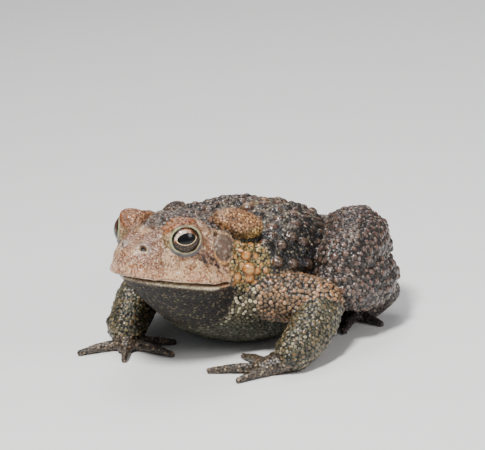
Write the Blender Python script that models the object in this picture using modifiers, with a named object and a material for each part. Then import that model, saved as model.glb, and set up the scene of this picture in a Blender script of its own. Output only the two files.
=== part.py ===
"""American toad at life size, sitting with its head raised.

The toad faces -Y, its left side is +X and the ground is z = 0. Shapes are worked out in
millimetres and every finished mesh is scaled to metres at the end. The head and trunk are one
lofted body that is remeshed, wrinkled with warts and then parted at the mouth and the neck.
Each limb is a chain of curve tubes, one node for each length, trimmed by what it grows from.
"""
import math
import random

import bmesh
import bpy
from mathutils import Matrix, Vector
from mathutils.bvhtree import BVHTree
from mathutils.kdtree import KDTree

# Driving dimensions, in millimetres
MM = 0.001
GAP = 0.3
VOXEL = 0.55
LIP_HEIGHT = 27.0
LIP_FRONT = -36.0
HEAD_PITCH = math.radians(14.0)
MOUTH_GAP = 0.35
MOUTH_LEVEL = -0.8
MOUTH_SLOPE = 0.06
JAW_SETBACK = 2.4
JAW_NARROWING = 0.12
JAW_LENGTH = 17.0
NECK_BACK = 24.0

EYE_RADIUS = 4.2
EYE_PLACE = (8.3, 11.0, 8.9)
EYE_AXIS = Vector((0.82, -0.54, 0.16))
LID_THICKNESS = 0.75
LID_OPENING = (3.85, 3.4)

NOSTRIL_PLACE = (2.5, 3.9, 6.1)
NOSTRIL_RADIUS = 0.55

TYMPANUM_PLACE = (13.6, 19.3, 7.3)
TYMPANUM_HALF = (2.7, 4.0)
TYMPANUM_THICKNESS = 0.9
TYMPANUM_OUTWARD = Vector((0.95, -0.22, 0.10))
TYMPANUM_UP = Vector((0.0, 0.3, 1.0))

PAROTOID_FRONT = Vector((8.6, -12.0, 34.0))
PAROTOID_REAR = Vector((14.4, -2.4, 29.6))
PAROTOID_HALF_WIDTH = 3.3
PAROTOID_HALF_HEIGHT = 2.3
PAROTOID_OUTWARD = Vector((0.72, -0.1, 0.68))
PAROTOID_TIP = 0.4
PAROTOID_SHIFT = {"left": Vector((0.0, 0.0, 0.8)), "right": Vector((0.0, 3.0, -1.0))}

# Crest from the snout over the eye and down behind it: sideways, back from the lip
CREST = ((4.0, 7.0), (5.6, 10.5), (6.6, 14.5), (7.6, 16.6), (11.6, 17.4))
CREST_RIDGE = (1.3, 0.75)
SNOUT_EDGE = ((2.6, 3.6), (4.2, 6.0), (6.0, 8.6))
SNOUT_RIDGE = (1.5, 0.5)

# Lips: height from the mouth line, then the half width and height of the ridge
UPPER_LIP = (1.2, 1.5, 0.45)
LOWER_LIP = (-1.2, 1.2, 0.3)
LIP_CENTRE = 14.0
LIP_SPREAD = math.radians(112.0)

# Tubercles behind the mouth: back from the lip, up from the mouth
TUBERCLES = ((22.6, 1.8), (21.8, -0.8), (24.6, 0.2), (23.4, 4.0), (25.8, 2.8), (24.4, -2.6))
TUBERCLE = (1.25, 0.8)

# Warts: how many, and the seed of their places
BACK_WARTS = (74, 11)
FLANK_WARTS = (56, 12)
CROWN_WARTS = (14, 13)
LIMB_WARTS = 14
LARGE_WART_SHARE = 0.45

SIDES = {"left": 1.0, "right": -1.0}

# Trunk stations: distance back, half width, top, bottom
TRUNK = (
    (-31.5, 4.0, 29.0, 24.4),
    (-28.0, 7.6, 32.0, 20.2),
    (-23.0, 10.4, 33.8, 14.2),
    (-15.0, 13.6, 34.4, 6.6),
    (-8.0, 17.6, 34.0, 1.8),
    (0.0, 21.4, 33.0, -0.5),
    (10.0, 22.0, 31.8, -0.6),
    (18.0, 20.0, 29.8, -0.6),
    (26.0, 15.5, 26.4, -0.6),
    (31.0, 11.5, 22.8, 0.8),
    (35.0, 6.5, 17.6, 4.0),
    (36.8, 2.0, 13.0, 7.5),
)
TRUNK_WIDEST = 0.42
TRUNK_POWER = 2.3

# Head stations: distance back from the snout, half width, then the height above and the depth
# below the widest level, and that level above the mouth
HEAD = (
    (0.0, 1.2, 1.5, 1.3, 3.2),
    (0.8, 3.6, 2.6, 2.4, 2.8),
    (1.8, 5.0, 3.7, 2.8, 2.4),
    (3.0, 6.2, 4.9, 3.4, 1.9),
    (5.0, 7.8, 6.5, 4.5, 1.3),
    (8.0, 10.0, 8.9, 5.2, 0.6),
    (11.0, 12.0, 11.0, 5.8, 0.2),
    (15.0, 13.7, 13.0, 6.6, 0.0),
    (20.0, 14.5, 13.6, 8.6, 0.0),
    (27.0, 14.4, 13.6, 11.0, 0.0),
)
HEAD_POWER = 2.5

# Limb chains: the knots of each length as x, y, z and radius, given for a +X limb
ARM_LEFT = {
    "upper_arm": ((14.0, -6.0, 15.0, 6.0), (20.6, -1.0, 13.6, 6.3), (26.4, 3.0, 12.0, 5.5)),
    "forearm": ((26.6, 2.8, 11.2, 5.3), (30.0, -3.6, 7.6, 5.7), (29.4, -11.5, 4.4, 4.3)),
    "hand": ((29.0, -12.0, 3.2, 3.5), (26.4, -15.0, 1.9, 3.2), (24.2, -16.8, 1.4, 2.6)),
}
FINGERS_LEFT = (
    ((24.6, -12.4, 1.3), (19.2, -7.2, 0.6)),
    ((23.8, -14.2, 1.3), (13.4, -11.4, 0.6)),
    ((23.6, -16.8, 1.3), (12.6, -23.0, 0.6)),
    ((26.6, -16.8, 1.3), (23.0, -24.6, 0.6)),
)
ARM_RIGHT = {
    "upper_arm": ((14.0, -7.0, 15.0, 6.0), (20.0, -3.0, 14.0, 6.2), (25.8, 1.4, 12.0, 5.3)),
    "forearm": ((26.0, 2.0, 11.4, 5.3), (22.4, -9.0, 9.2, 5.6), (18.2, -17.6, 5.0, 4.6)),
    "hand": ((18.2, -17.8, 3.4, 3.6), (16.8, -20.4, 2.0, 3.0), (15.6, -21.4, 1.5, 2.4)),
}
FINGERS_RIGHT = (
    ((14.8, -17.2, 1.3), (8.4, -12.0, 0.6)),
    ((14.4, -19.2, 1.3), (3.0, -18.8, 0.6)),
    ((15.6, -21.2, 1.3), (11.0, -27.2, 0.6)),
    ((18.6, -21.2, 1.3), (24.2, -28.8, 0.6)),
)
FINGER_RADIUS = (1.35, 0.85)

# Lengths of a limb from the body outwards: name, flattening and the seed of its warts
ARM_LENGTHS = (("upper_arm", 1.0, 21), ("forearm", 1.0, 22), ("hand", 0.8, None))
LEG_LENGTHS = (("thigh", 1.0, 31), ("shank", 1.0, 32), ("tarsus", 1.0, None), ("foot", 0.7, None))
ARM_WART = (1.1, 1.5, 0.55)
LEG_WART = (1.5, 2.1, 0.7)

LEG = {
    "thigh": ((11.5, 31.5, 17.0, 7.0), (20.8, 31.0, 20.4, 9.4), (26.0, 14.2, 18.6, 6.8)),
    "shank": ((27.0, 11.0, 14.8, 6.4), (29.2, 18.5, 11.8, 7.6), (24.4, 26.4, 12.0, 6.0)),
    "tarsus": ((25.6, 30.4, 6.2, 3.2), (24.6, 28.0, 3.6, 2.8), (22.8, 25.4, 2.4, 2.7)),
    "foot": ((22.8, 26.6, 2.0, 2.8), (21.4, 23.4, 1.7, 2.8), (20.6, 21.6, 1.4, 2.4)),
}
THIGH_DROP = {"left": 0.0, "right": 1.8}
TOES = (
    ((19.6, 23.4, 1.1), (14.8, 20.2, 0.6)),
    ((19.4, 21.8, 1.1), (15.8, 14.2, 0.6)),
    ((20.0, 21.0, 1.1), (19.8, 10.6, 0.6)),
    ((21.2, 21.2, 1.1), (24.6, 13.6, 0.6)),
    ((22.2, 23.2, 1.1), (29.4, 22.2, 0.6)),
)
TOE_RADIUS = (1.3, 0.85)

# A digit from root to tip: place along it and thickness there, and how far it arches
DIGIT_PROFILE = ((0.0, 1.0), (0.35, 0.86), (0.55, 0.98), (0.8, 0.8), (1.0, 0.9))
DIGIT_ARCH = 0.35

# Triangles kept in each node
TRIANGLES = {
    "body_form": 5000,
    "torso": 3700,
    "head": 2400,
    "lower_jaw": 700,
    "upper_arm": 400,
    "forearm": 400,
    "hand": 180,
    "digit": 72,
    "thigh": 620,
    "shank": 620,
    "tarsus": 130,
    "foot": 130,
}

# Colours
BACK_BROWN = (0.10, 0.07, 0.05)
HEAD_TAN = (0.30, 0.18, 0.12)
JAW_CREAM = (0.36, 0.29, 0.19)
GLAND_ORANGE = (0.32, 0.16, 0.07)
EARDRUM_GREY = (0.20, 0.15, 0.12)
EYE_GOLD = (0.25, 0.16, 0.04)
LIMB_OLIVE = (0.20, 0.17, 0.11)


def clear_scene():
    for obj in list(bpy.data.objects):
        bpy.data.objects.remove(obj, do_unlink=True)


def collection(name):
    made = bpy.data.collections.new(name)
    bpy.context.scene.collection.children.link(made)
    return made


def material(name, colour, roughness):
    made = bpy.data.materials.new(name)
    made.use_nodes = True
    shader = made.node_tree.nodes["Principled BSDF"]
    shader.inputs["Base Color"].default_value = (*colour, 1.0)
    shader.inputs["Roughness"].default_value = roughness
    shader.inputs["Metallic"].default_value = 0.0
    return made


def head_point(x, back, up):
    """A point in the head's own frame: sideways, back from the lip, up from the mouth."""
    axis_back = Vector((0.0, math.cos(HEAD_PITCH), -math.sin(HEAD_PITCH)))
    axis_up = Vector((0.0, math.sin(HEAD_PITCH), math.cos(HEAD_PITCH)))
    return Vector((x, LIP_FRONT, LIP_HEIGHT)) + axis_back * back + axis_up * up


def head_vector(x, back, up):
    return (head_point(x, back, up) - head_point(0.0, 0.0, 0.0)).normalized()


def mirrored(point, side):
    return Vector((point[0] * SIDES[side], point[1], point[2]))


def new_object(name, mesh, group):
    made = bpy.data.objects.new(name, mesh)
    group.objects.link(made)
    return made


def interpolate(table, at):
    """Smooth reading of a table of stations whose first column is the place."""
    places = [row[0] for row in table]
    last = len(table) - 1
    i = max(0, min(last - 1, sum(place <= at for place in places) - 1))
    before, start, end, after = (table[max(0, min(last, i + k))] for k in (-1, 0, 1, 2))
    span = end[0] - start[0]
    t = (at - start[0]) / span
    values = []
    for column in range(1, len(start)):
        slope_in = (end[column] - before[column]) / max(end[0] - before[0], span)
        slope_out = (after[column] - start[column]) / max(after[0] - start[0], span)
        h00 = 2 * t**3 - 3 * t**2 + 1
        h10 = t**3 - 2 * t**2 + t
        h01 = 3 * t**2 - 2 * t**3
        h11 = t**3 - t**2
        values.append(
            h00 * start[column] + h10 * span * slope_in + h01 * end[column] + h11 * span * slope_out
        )
    return values


def ring(place, half_width, above, below, power, sides=40):
    """A closed section: place(x, z) gives a world point, with unlike upper and lower halves."""
    points = []
    for i in range(sides):
        angle = math.tau * i / sides
        across, up = math.cos(angle), math.sin(angle)
        x = half_width * math.copysign(abs(across) ** (2.0 / power), across)
        z = math.copysign(abs(up) ** (2.0 / power), up) * (above if up > 0 else below)
        points.append(place(x, z))
    return points


def loft(name, rings, group):
    bm = bmesh.new()
    loops = [[bm.verts.new(point) for point in points] for points in rings]
    for one, two in zip(loops, loops[1:]):
        for i in range(len(one)):
            j = (i + 1) % len(one)
            bm.faces.new((one[i], one[j], two[j], two[i]))
    bm.faces.new(list(reversed(loops[0])))
    bm.faces.new(loops[-1])
    bmesh.ops.recalc_face_normals(bm, faces=bm.faces)
    mesh = bpy.data.meshes.new(name)
    bm.to_mesh(mesh)
    bm.free()
    return new_object(name, mesh, group)


def ball(name, centre, radii, group, turn=None, segments=32, rings=20):
    """An ellipsoid with its own axes turned by a rotation matrix."""
    bm = bmesh.new()
    bmesh.ops.create_uvsphere(bm, u_segments=segments, v_segments=rings, radius=1.0)
    place = Matrix.Translation(centre) @ (turn.to_4x4() if turn else Matrix())
    bm.transform(place @ Matrix.Diagonal((*radii, 1.0)))
    mesh = bpy.data.meshes.new(name)
    bm.to_mesh(mesh)
    bm.free()
    return new_object(name, mesh, group)


def facing(axis, up=Vector((0.0, 0.0, 1.0))):
    """Rotation whose Z axis looks along the given direction and whose Y axis leans upwards."""
    z = axis.normalized()
    x = up.cross(z).normalized()
    y = z.cross(x)
    return Matrix((x, y, z)).transposed()


def tube(name, points, group):
    """A round limb along points of (x, y, z, radius), with ball ends."""
    curve = bpy.data.curves.new(name, "CURVE")
    curve.dimensions = "3D"
    curve.bevel_depth = 1.0
    curve.bevel_resolution = 6
    curve.resolution_u = 8
    curve.use_fill_caps = True
    spline = curve.splines.new("NURBS")
    spline.points.add(len(points) - 1)
    for knot, (x, y, z, radius) in zip(spline.points, points):
        knot.co = (x, y, z, 1.0)
        knot.radius = radius
    spline.use_endpoint_u = True
    spline.order_u = 3
    guide = new_object(name, curve, group)
    bpy.context.view_layer.update()
    evaluated = guide.evaluated_get(bpy.context.evaluated_depsgraph_get())
    mesh = bpy.data.meshes.new_from_object(evaluated)
    bpy.data.objects.remove(guide, do_unlink=True)
    bm = bmesh.new()
    bm.from_mesh(mesh)
    bmesh.ops.remove_doubles(bm, verts=bm.verts, dist=0.0001)
    bm.to_mesh(mesh)
    bm.free()
    made = new_object(name, mesh, group)
    caps = [
        ball(name + "_end", Vector(points[i][:3]), (points[i][3],) * 3, group, segments=20, rings=12)
        for i in (0, -1)
    ]
    return joined(made, caps)


def joined(target, others):
    """Loose shapes put into one mesh, to be fused by the remesh that follows."""
    bm = bmesh.new()
    for obj in [target, *others]:
        bm.from_mesh(obj.data)
    bm.to_mesh(target.data)
    bm.free()
    for obj in others:
        bpy.data.objects.remove(obj, do_unlink=True)
    return target


def apply_modifiers(obj):
    bpy.context.view_layer.update()
    evaluated = obj.evaluated_get(bpy.context.evaluated_depsgraph_get())
    mesh = bpy.data.meshes.new_from_object(evaluated)
    obj.modifiers.clear()
    obj.data = mesh
    return obj


def fused(obj, voxel=VOXEL, rounds=6):
    """One closed skin over overlapping shapes, with its joints smoothed."""
    remesh = obj.modifiers.new("skin", "REMESH")
    remesh.mode = "VOXEL"
    remesh.voxel_size = voxel
    smooth = obj.modifiers.new("ease", "SMOOTH")
    smooth.factor = 0.5
    smooth.iterations = rounds
    return apply_modifiers(obj)


def thinned(obj, triangles):
    """Fewer triangles, kept where the surface bends most."""
    bm = bmesh.new()
    bm.from_mesh(obj.data)
    bmesh.ops.triangulate(bm, faces=bm.faces)
    count = len(bm.faces)
    bm.to_mesh(obj.data)
    bm.free()
    if count > triangles:
        decimate = obj.modifiers.new("fewer", "DECIMATE")
        decimate.ratio = triangles / count
        apply_modifiers(obj)
    return obj


def copied(obj, name, group):
    return new_object(name, obj.data.copy(), group)


def clearance(obj, group, distance=GAP):
    """A cutter that stands off from an object's surface by the clearance between pieces."""
    cutter = copied(obj, obj.name + "_clearance", group)
    displace = cutter.modifiers.new("clearance", "DISPLACE")
    displace.direction = "NORMAL"
    displace.mid_level = 0.0
    displace.strength = distance
    apply_modifiers(cutter)
    cutter.hide_render = True
    cutter.display_type = "WIRE"
    return cutter


def boolean(target, cutter, operation="DIFFERENCE"):
    """A Boolean that is applied, by MANIFOLD where EXACT leaves nothing or an open edge."""
    before = target.data
    for solver in ("EXACT", "MANIFOLD"):
        target.data = before
        modifier = target.modifiers.new("cut", "BOOLEAN")
        modifier.operation = operation
        modifier.object = cutter
        modifier.solver = solver
        apply_modifiers(target)
        largest_body(target)
        if target.data.vertices and is_closed(target.data):
            break
    return target


def is_closed(mesh):
    bm = bmesh.new()
    bm.from_mesh(mesh)
    closed = all(len(edge.link_faces) == 2 for edge in bm.edges)
    bm.free()
    return closed


def largest_body(obj):
    """Keep the largest closed surface, triangulated and without stray points."""
    bm = bmesh.new()
    bm.from_mesh(obj.data)
    bmesh.ops.remove_doubles(bm, verts=bm.verts, dist=0.0001)
    bmesh.ops.triangulate(bm, faces=bm.faces)
    bm.verts.ensure_lookup_table()
    seen = set()
    bodies = []
    for start in bm.verts:
        if start in seen:
            continue
        body = [start]
        seen.add(start)
        for vert in body:
            for edge in vert.link_edges:
                other = edge.other_vert(vert)
                if other not in seen:
                    seen.add(other)
                    body.append(other)
        bodies.append(body)
    bodies.sort(key=len)
    spare = [vert for body in bodies[:-1] for vert in body]
    bmesh.ops.delete(bm, geom=spare, context="VERTS")
    bm.to_mesh(obj.data)
    bm.free()
    return obj


def slab(name, centre, size, turn, group):
    bm = bmesh.new()
    bmesh.ops.create_cube(bm, size=1.0)
    place = Matrix.Translation(centre) @ turn.to_4x4() @ Matrix.Diagonal((*size, 1.0))
    bm.transform(place)
    mesh = bpy.data.meshes.new(name)
    bm.to_mesh(mesh)
    bm.free()
    made = new_object(name, mesh, group)
    made.hide_render = True
    made.display_type = "WIRE"
    return made


def post(name, centre, size, turn, group, sides=28):
    """An oval post: half width, half height and full length along its own axis."""
    bm = bmesh.new()
    bmesh.ops.create_cone(bm, cap_ends=True, segments=sides, radius1=1.0, radius2=1.0, depth=1.0)
    bm.transform(Matrix.Translation(centre) @ turn.to_4x4() @ Matrix.Diagonal((*size, 1.0)))
    mesh = bpy.data.meshes.new(name)
    bm.to_mesh(mesh)
    bm.free()
    return new_object(name, mesh, group)


def half_space(obj, point, normal, group):
    """Keep the part of an object that lies behind a plane."""
    size = 200.0
    turn = facing(normal, Vector((1.0, 0.0, 0.0)))
    cutter = slab("half_space", point + normal.normalized() * size / 2, (size,) * 3, turn, group)
    boolean(obj, cutter)
    bpy.data.objects.remove(cutter, do_unlink=True)
    return obj


def raise_bumps(obj, bumps):
    """Raise rounded bumps of (centre, radius, height) along the surface's own normals."""
    mesh = obj.data
    tree = KDTree(len(mesh.vertices))
    for vert in mesh.vertices:
        tree.insert(vert.co, vert.index)
    tree.balance()
    normals = [vert.normal.copy() for vert in mesh.vertices]
    places = [vert.co.copy() for vert in mesh.vertices]
    lift = {}
    for centre, radius, height in bumps:
        for _, index, distance in tree.find_range(centre, radius):
            rise = height * (1.0 - (distance / radius) ** 2) ** 0.7
            lift[index] = max(lift.get(index, 0.0), rise)
    for index, rise in lift.items():
        mesh.vertices[index].co = places[index] + normals[index] * rise
    mesh.update()


def raise_ridge(obj, points, half_width, height):
    """A low ridge along a chain of points."""
    mesh = obj.data
    chain = [Vector(point) for point in points]
    for vert in mesh.vertices:
        nearest = half_width
        for one, two in zip(chain, chain[1:]):
            along = two - one
            t = max(0.0, min(1.0, (vert.co - one).dot(along) / along.length_squared))
            nearest = min(nearest, (vert.co - one - along * t).length)
        if nearest < half_width:
            ease = 1.0 - (nearest / half_width) ** 2
            vert.co = vert.co + vert.normal * height * ease * ease
    mesh.update()


def scatter_bumps(obj, count, seed, accept, size):
    """Seeded places on a surface, each with its radius and height, that keep their distance."""
    draw = random.Random(seed)
    mesh = obj.data
    mesh.calc_loop_triangles()
    triangles = mesh.loop_triangles
    total = 0.0
    reach = []
    for triangle in triangles:
        total += triangle.area
        reach.append(total)
    bumps = []
    tries = 0
    while len(bumps) < count and tries < count * 60:
        tries += 1
        target = draw.random() * total
        low, high = 0, len(reach) - 1
        while low < high:
            middle = (low + high) // 2
            if reach[middle] < target:
                low = middle + 1
            else:
                high = middle
        centre = triangles[low].center
        if not accept(centre, triangles[low].normal):
            continue
        radius, height = size(centre, draw)
        if all((centre - other[0]).length > 0.85 * (radius + other[1]) for other in bumps):
            bumps.append((centre.copy(), radius, height))
    return bumps


def head_and_trunk(group):
    """The whole head and trunk as one closed skin, before it is parted."""
    trunk_rings = []
    steps = 34
    start, end = TRUNK[0][0], TRUNK[-1][0]
    for i in range(steps + 1):
        y = start + (end - start) * i / steps
        half_width, top, bottom = interpolate(TRUNK, y)
        level = bottom + TRUNK_WIDEST * (top - bottom)
        trunk_rings.append(
            ring(lambda x, z: Vector((x, y, level + z)), half_width, top - level, level - bottom, TRUNK_POWER)
        )
    trunk = loft("trunk_form", trunk_rings, group)
    head_rings = []
    steps = 30
    for i in range(steps + 1):
        back = HEAD[-1][0] * (i / steps) ** 1.3
        half_width, above, below, level = interpolate(HEAD, back)
        head_rings.append(
            ring(lambda x, z: head_point(x, back, level + z), half_width, above, below, HEAD_POWER)
        )
    forms = [loft("head_form", head_rings, group)]
    for side in SIDES:
        eye = mirrored(head_point(*EYE_PLACE), side)
        lid = EYE_RADIUS + LID_THICKNESS
        forms.append(ball("lid_form", eye, (lid,) * 3, group))
    body = joined(trunk, forms)
    body.name = "body_form"
    return fused(body)


def on_surface(obj, start, direction):
    """Where a line from outside first meets an object."""
    bm = bmesh.new()
    bm.from_mesh(obj.data)
    hit = BVHTree.FromBMesh(bm).ray_cast(start, direction.normalized())[0]
    bm.free()
    return hit


def lip_chain(body, level):
    """Points along the mouth on the skin, from one corner round the snout to the other."""
    points = []
    steps = 16
    for i in range(-steps, steps + 1):
        angle = LIP_SPREAD * i / steps
        middle = head_point(0.0, LIP_CENTRE, level)
        outward = head_vector(math.sin(angle), -math.cos(angle), 0.0)
        hit = on_surface(body, middle + outward * 60.0, -outward)
        if hit is not None:
            points.append(hit)
    return points


def shape_head(body):
    """Crests over and behind the eyes, the edge of the snout, and the lips."""
    downward = -head_vector(0.0, 0.0, 1.0)
    for side in SIDES:
        for line, ridge in ((CREST, CREST_RIDGE), (SNOUT_EDGE, SNOUT_RIDGE)):
            starts = [mirrored(head_point(x, back, 40.0), side) for x, back in line]
            raise_ridge(body, [on_surface(body, start, downward) for start in starts], *ridge)
    for level, half_width, height in (UPPER_LIP, LOWER_LIP):
        raise_ridge(body, lip_chain(body, MOUTH_LEVEL + level), half_width, height)


def trunk_warts(body):
    """Large warts along the back, smaller ones down the flanks, and those on the crown."""
    eye = head_point(*EYE_PLACE)

    def on_back(place, normal):
        behind = (place - head_point(0.0, NECK_BACK - 3.0, 0.0)).dot(head_vector(0, 1, 0)) > 0
        return behind and place.z > 19.0 and normal.z > 0.15 and place.y < 34.0

    def on_flank(place, normal):
        return 9.0 < place.z <= 24.0 and abs(place.x) > 12.0 and -11.0 < place.y < 30.0

    def on_crown(place, normal):
        local = place - head_point(0.0, 0.0, 0.0)
        back = local.dot(head_vector(0, 1, 0))
        near_eye = min((mirrored(eye, side) - place).length for side in SIDES)
        return 9.0 < back < NECK_BACK - 2.0 and normal.z > 0.6 and near_eye > EYE_RADIUS + 1.6

    def back_size(place, draw):
        large = draw.random() < LARGE_WART_SHARE
        return (draw.uniform(1.4, 1.9), draw.uniform(0.8, 1.1)) if large else (draw.uniform(0.9, 1.3), 0.6)

    def flank_size(place, draw):
        return draw.uniform(0.8, 1.2), draw.uniform(0.4, 0.6)

    def crown_size(place, draw):
        return draw.uniform(0.7, 1.1), draw.uniform(0.35, 0.5)

    bumps = scatter_bumps(body, *BACK_WARTS, on_back, back_size)
    bumps += scatter_bumps(body, *FLANK_WARTS, on_flank, flank_size)
    bumps += scatter_bumps(body, *CROWN_WARTS, on_crown, crown_size)
    for side in SIDES:
        for back, up in TUBERCLES:
            outside = mirrored(head_point(40.0, back, up), side)
            hit = on_surface(body, outside, Vector((-SIDES[side], 0.0, 0.0)))
            bumps.append((hit, *TUBERCLE))
    raise_bumps(body, bumps)


def limb(name, points, side, triangles, group, flatten, seed, wart):
    """One length of a limb as a smooth closed form, with its warts."""
    knots = [(x * SIDES[side], y, z, radius) for x, y, z, radius in points]
    made = fused(tube(f"{name}_{side}", knots, group), voxel=0.5, rounds=4)
    if flatten != 1.0:
        middle = sum(knot[2] for knot in knots) / len(knots)
        for vert in made.data.vertices:
            vert.co.z = middle + (vert.co.z - middle) * flatten
    if seed is not None:
        def outside(place, normal):
            return normal.z > -0.4 and normal.x * SIDES[side] > -0.3

        def wart_size(place, draw):
            small, large, height = wart
            return draw.uniform(small, large), height

        raise_bumps(made, scatter_bumps(made, LIMB_WARTS, seed, outside, wart_size))
    return thinned(made, triangles)


def digit(name, root, tip, radius, group):
    """A finger or toe: a little arched, thick at its joints, with a round tip."""
    root, tip = Vector(root), Vector(tip)
    thick, thin = radius
    points = []
    for t, size in DIGIT_PROFILE:
        place = root.lerp(tip, t)
        arch = DIGIT_ARCH * math.sin(math.pi * t)
        points.append((place.x, place.y, place.z + arch, (thick + (thin - thick) * t) * size))
    made = fused(tube(name, points, group), voxel=0.3, rounds=2)
    return thinned(made, TRIANGLES["digit"])


def reach(obj):
    """The lowest and highest corners of an object's own mesh."""
    places = [vert.co for vert in obj.data.vertices]
    low = [min(place[i] for place in places) for i in range(3)]
    high = [max(place[i] for place in places) for i in range(3)]
    return low, high


def trimmed(obj, neighbours):
    """Cut an object clear of the clearance forms of what it grows from or lies against."""
    for cutter in neighbours:
        low, high = reach(obj)
        other_low, other_high = reach(cutter)
        if all(other_low[i] < high[i] and other_high[i] > low[i] for i in range(3)):
            boolean(obj, cutter)
    return obj


def digits(name, side, ends, radius, chain, parts, cutters):
    """Fingers or toes, each cut clear of the hand or foot and of the digits before it."""
    made = []
    for number, (root, tip) in enumerate(ends, 1):
        piece = digit(f"{name}_{side}_{number}", mirrored(root, side), mirrored(tip, side), radius, parts)
        form = clearance(piece, cutters)
        trimmed(piece, chain)
        made.append(thinned(piece, TRIANGLES["digit"]))
        chain = chain + [form]
    return made


def limbs(parts, cutters, body_form):
    """Arms, hands, legs and feet, each cut clear of what was made before it."""
    made = []
    for side in SIDES:
        chain = [body_form]
        arm = ARM_LEFT if side == "left" else ARM_RIGHT
        ends = FINGERS_LEFT if side == "left" else FINGERS_RIGHT
        for name, flatten, seed in ARM_LENGTHS:
            piece = limb(name, arm[name], side, TRIANGLES[name], parts, flatten, seed, ARM_WART)
            form = clearance(piece, cutters)
            trimmed(piece, chain)
            made.append(thinned(piece, TRIANGLES[name]))
            chain.append(form)
        made += digits("finger", side, ends, FINGER_RADIUS, chain, parts, cutters)
        chain = chain[:3]
        for name, flatten, seed in LEG_LENGTHS:
            drop = THIGH_DROP[side] if name == "thigh" else 0.0
            knots = [(x, y, z - drop, radius) for x, y, z, radius in LEG[name]]
            piece = limb(name, knots, side, TRIANGLES[name], parts, flatten, seed, LEG_WART)
            form = clearance(piece, cutters)
            trimmed(piece, chain)
            made.append(thinned(piece, TRIANGLES[name]))
            chain.append(form)
        made += digits("toe", side, TOES, TOE_RADIUS, chain, parts, cutters)
    return made


def inset_jaw(jaw):
    """Set the front of the lower jaw back under the snout, and narrow it."""
    start = head_point(0.0, 0.0, 0.0)
    back = head_vector(0.0, 1.0, 0.0)
    for vert in jaw.data.vertices:
        along = max(0.0, min(1.0, (vert.co - start).dot(back) / JAW_LENGTH))
        share = 1.0 - along * along * (3.0 - 2.0 * along)
        vert.co.x *= 1.0 - JAW_NARROWING * share
        vert.co += back * JAW_SETBACK * share
    jaw.data.update()


def head_pieces(parts, cutters, body):
    """Part the body into torso, head and jaw, and seat the eyes, eardrums and glands."""
    neck = head_point(0.0, NECK_BACK, 0.0)
    back = head_vector(0.0, 1.0, 0.0)
    torso = copied(body, "torso", parts)
    head = copied(body, "head", parts)
    jaw = copied(body, "lower_jaw", parts)
    half_space(torso, neck + back * GAP / 2, -back, cutters)
    half_space(head, neck - back * GAP / 2, back, cutters)
    half_space(jaw, neck - back * GAP / 2, back, cutters)
    mouth_up = head_vector(0.0, MOUTH_SLOPE, 1.0)
    half_space(head, head_point(0.0, 0.0, MOUTH_LEVEL + MOUTH_GAP / 2), -mouth_up, cutters)
    half_space(jaw, head_point(0.0, 0.0, MOUTH_LEVEL - MOUTH_GAP / 2), mouth_up, cutters)
    for obj in (torso, head, jaw):
        thinned(obj, TRIANGLES[obj.name])
    inset_jaw(jaw)
    pieces = [torso, head, jaw]
    for side in SIDES:
        axis = mirrored(EYE_AXIS, side).normalized()
        centre = mirrored(head_point(*EYE_PLACE), side)
        turn = facing(axis)
        eye = ball(f"eye_{side}", centre, (EYE_RADIUS,) * 3, parts, turn, 20, 12)
        outside = centre + axis * EYE_RADIUS * 2
        opening = post("opening", outside, (*LID_OPENING, EYE_RADIUS * 4), turn, cutters)
        boolean(head, opening)
        socket = ball("socket", centre, (EYE_RADIUS + GAP,) * 3, cutters, turn, 20, 14)
        boolean(head, socket)
        nostril = mirrored(head_point(*NOSTRIL_PLACE), side)
        hole = ball("nostril", nostril, (NOSTRIL_RADIUS,) * 3, cutters, None, 10, 6)
        boolean(head, hole)
        ear = mirrored(head_point(*TYMPANUM_PLACE), side)
        lean = facing(mirrored(TYMPANUM_OUTWARD, side), TYMPANUM_UP)
        drum = ball(f"tympanum_{side}", ear, (*TYMPANUM_HALF, TYMPANUM_THICKNESS), parts, lean, 16, 8)
        trimmed(head, [clearance(drum, cutters)])
        front = mirrored(PAROTOID_FRONT, side) + PAROTOID_SHIFT[side]
        rear = mirrored(PAROTOID_REAR, side) + PAROTOID_SHIFT[side]
        along = (rear - front).normalized()
        outward = mirrored(PAROTOID_OUTWARD, side)
        across = along.cross(outward).normalized()
        flat = Matrix((along, across, along.cross(across))).transposed()
        half_length = (rear - front).length / 2 + PAROTOID_TIP
        radii = (half_length, PAROTOID_HALF_WIDTH, PAROTOID_HALF_HEIGHT)
        gland = ball(f"parotoid_{side}", (front + rear) / 2, radii, parts, flat, 18, 12)
        gland_form = clearance(gland, cutters)
        trimmed(head, [gland_form])
        trimmed(torso, [gland_form])
        pieces += [eye, drum, gland]
    return pieces


def finish(parts, pieces, cutters):
    """Flats on the ground, the origin under the middle, and metres."""
    for obj in pieces:
        if min(vert.co.z for vert in obj.data.vertices) < 0.0:
            half_space(obj, Vector((0.0, 0.0, 0.0)), Vector((0.0, 0.0, -1.0)), cutters)
    places = [vert.co for obj in pieces for vert in obj.data.vertices]
    middle = Vector((
        (min(p.x for p in places) + max(p.x for p in places)) / 2,
        (min(p.y for p in places) + max(p.y for p in places)) / 2,
        0.0,
    ))
    for cutter in list(cutters.objects):
        bpy.data.objects.remove(cutter, do_unlink=True)
    for obj in pieces:
        obj.data.transform(Matrix.Scale(MM, 4) @ Matrix.Translation(-middle))
        centre = sum((vert.co for vert in obj.data.vertices), Vector()) / len(obj.data.vertices)
        obj.data.transform(Matrix.Translation(-centre))
        obj.location = centre
    return middle


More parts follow.
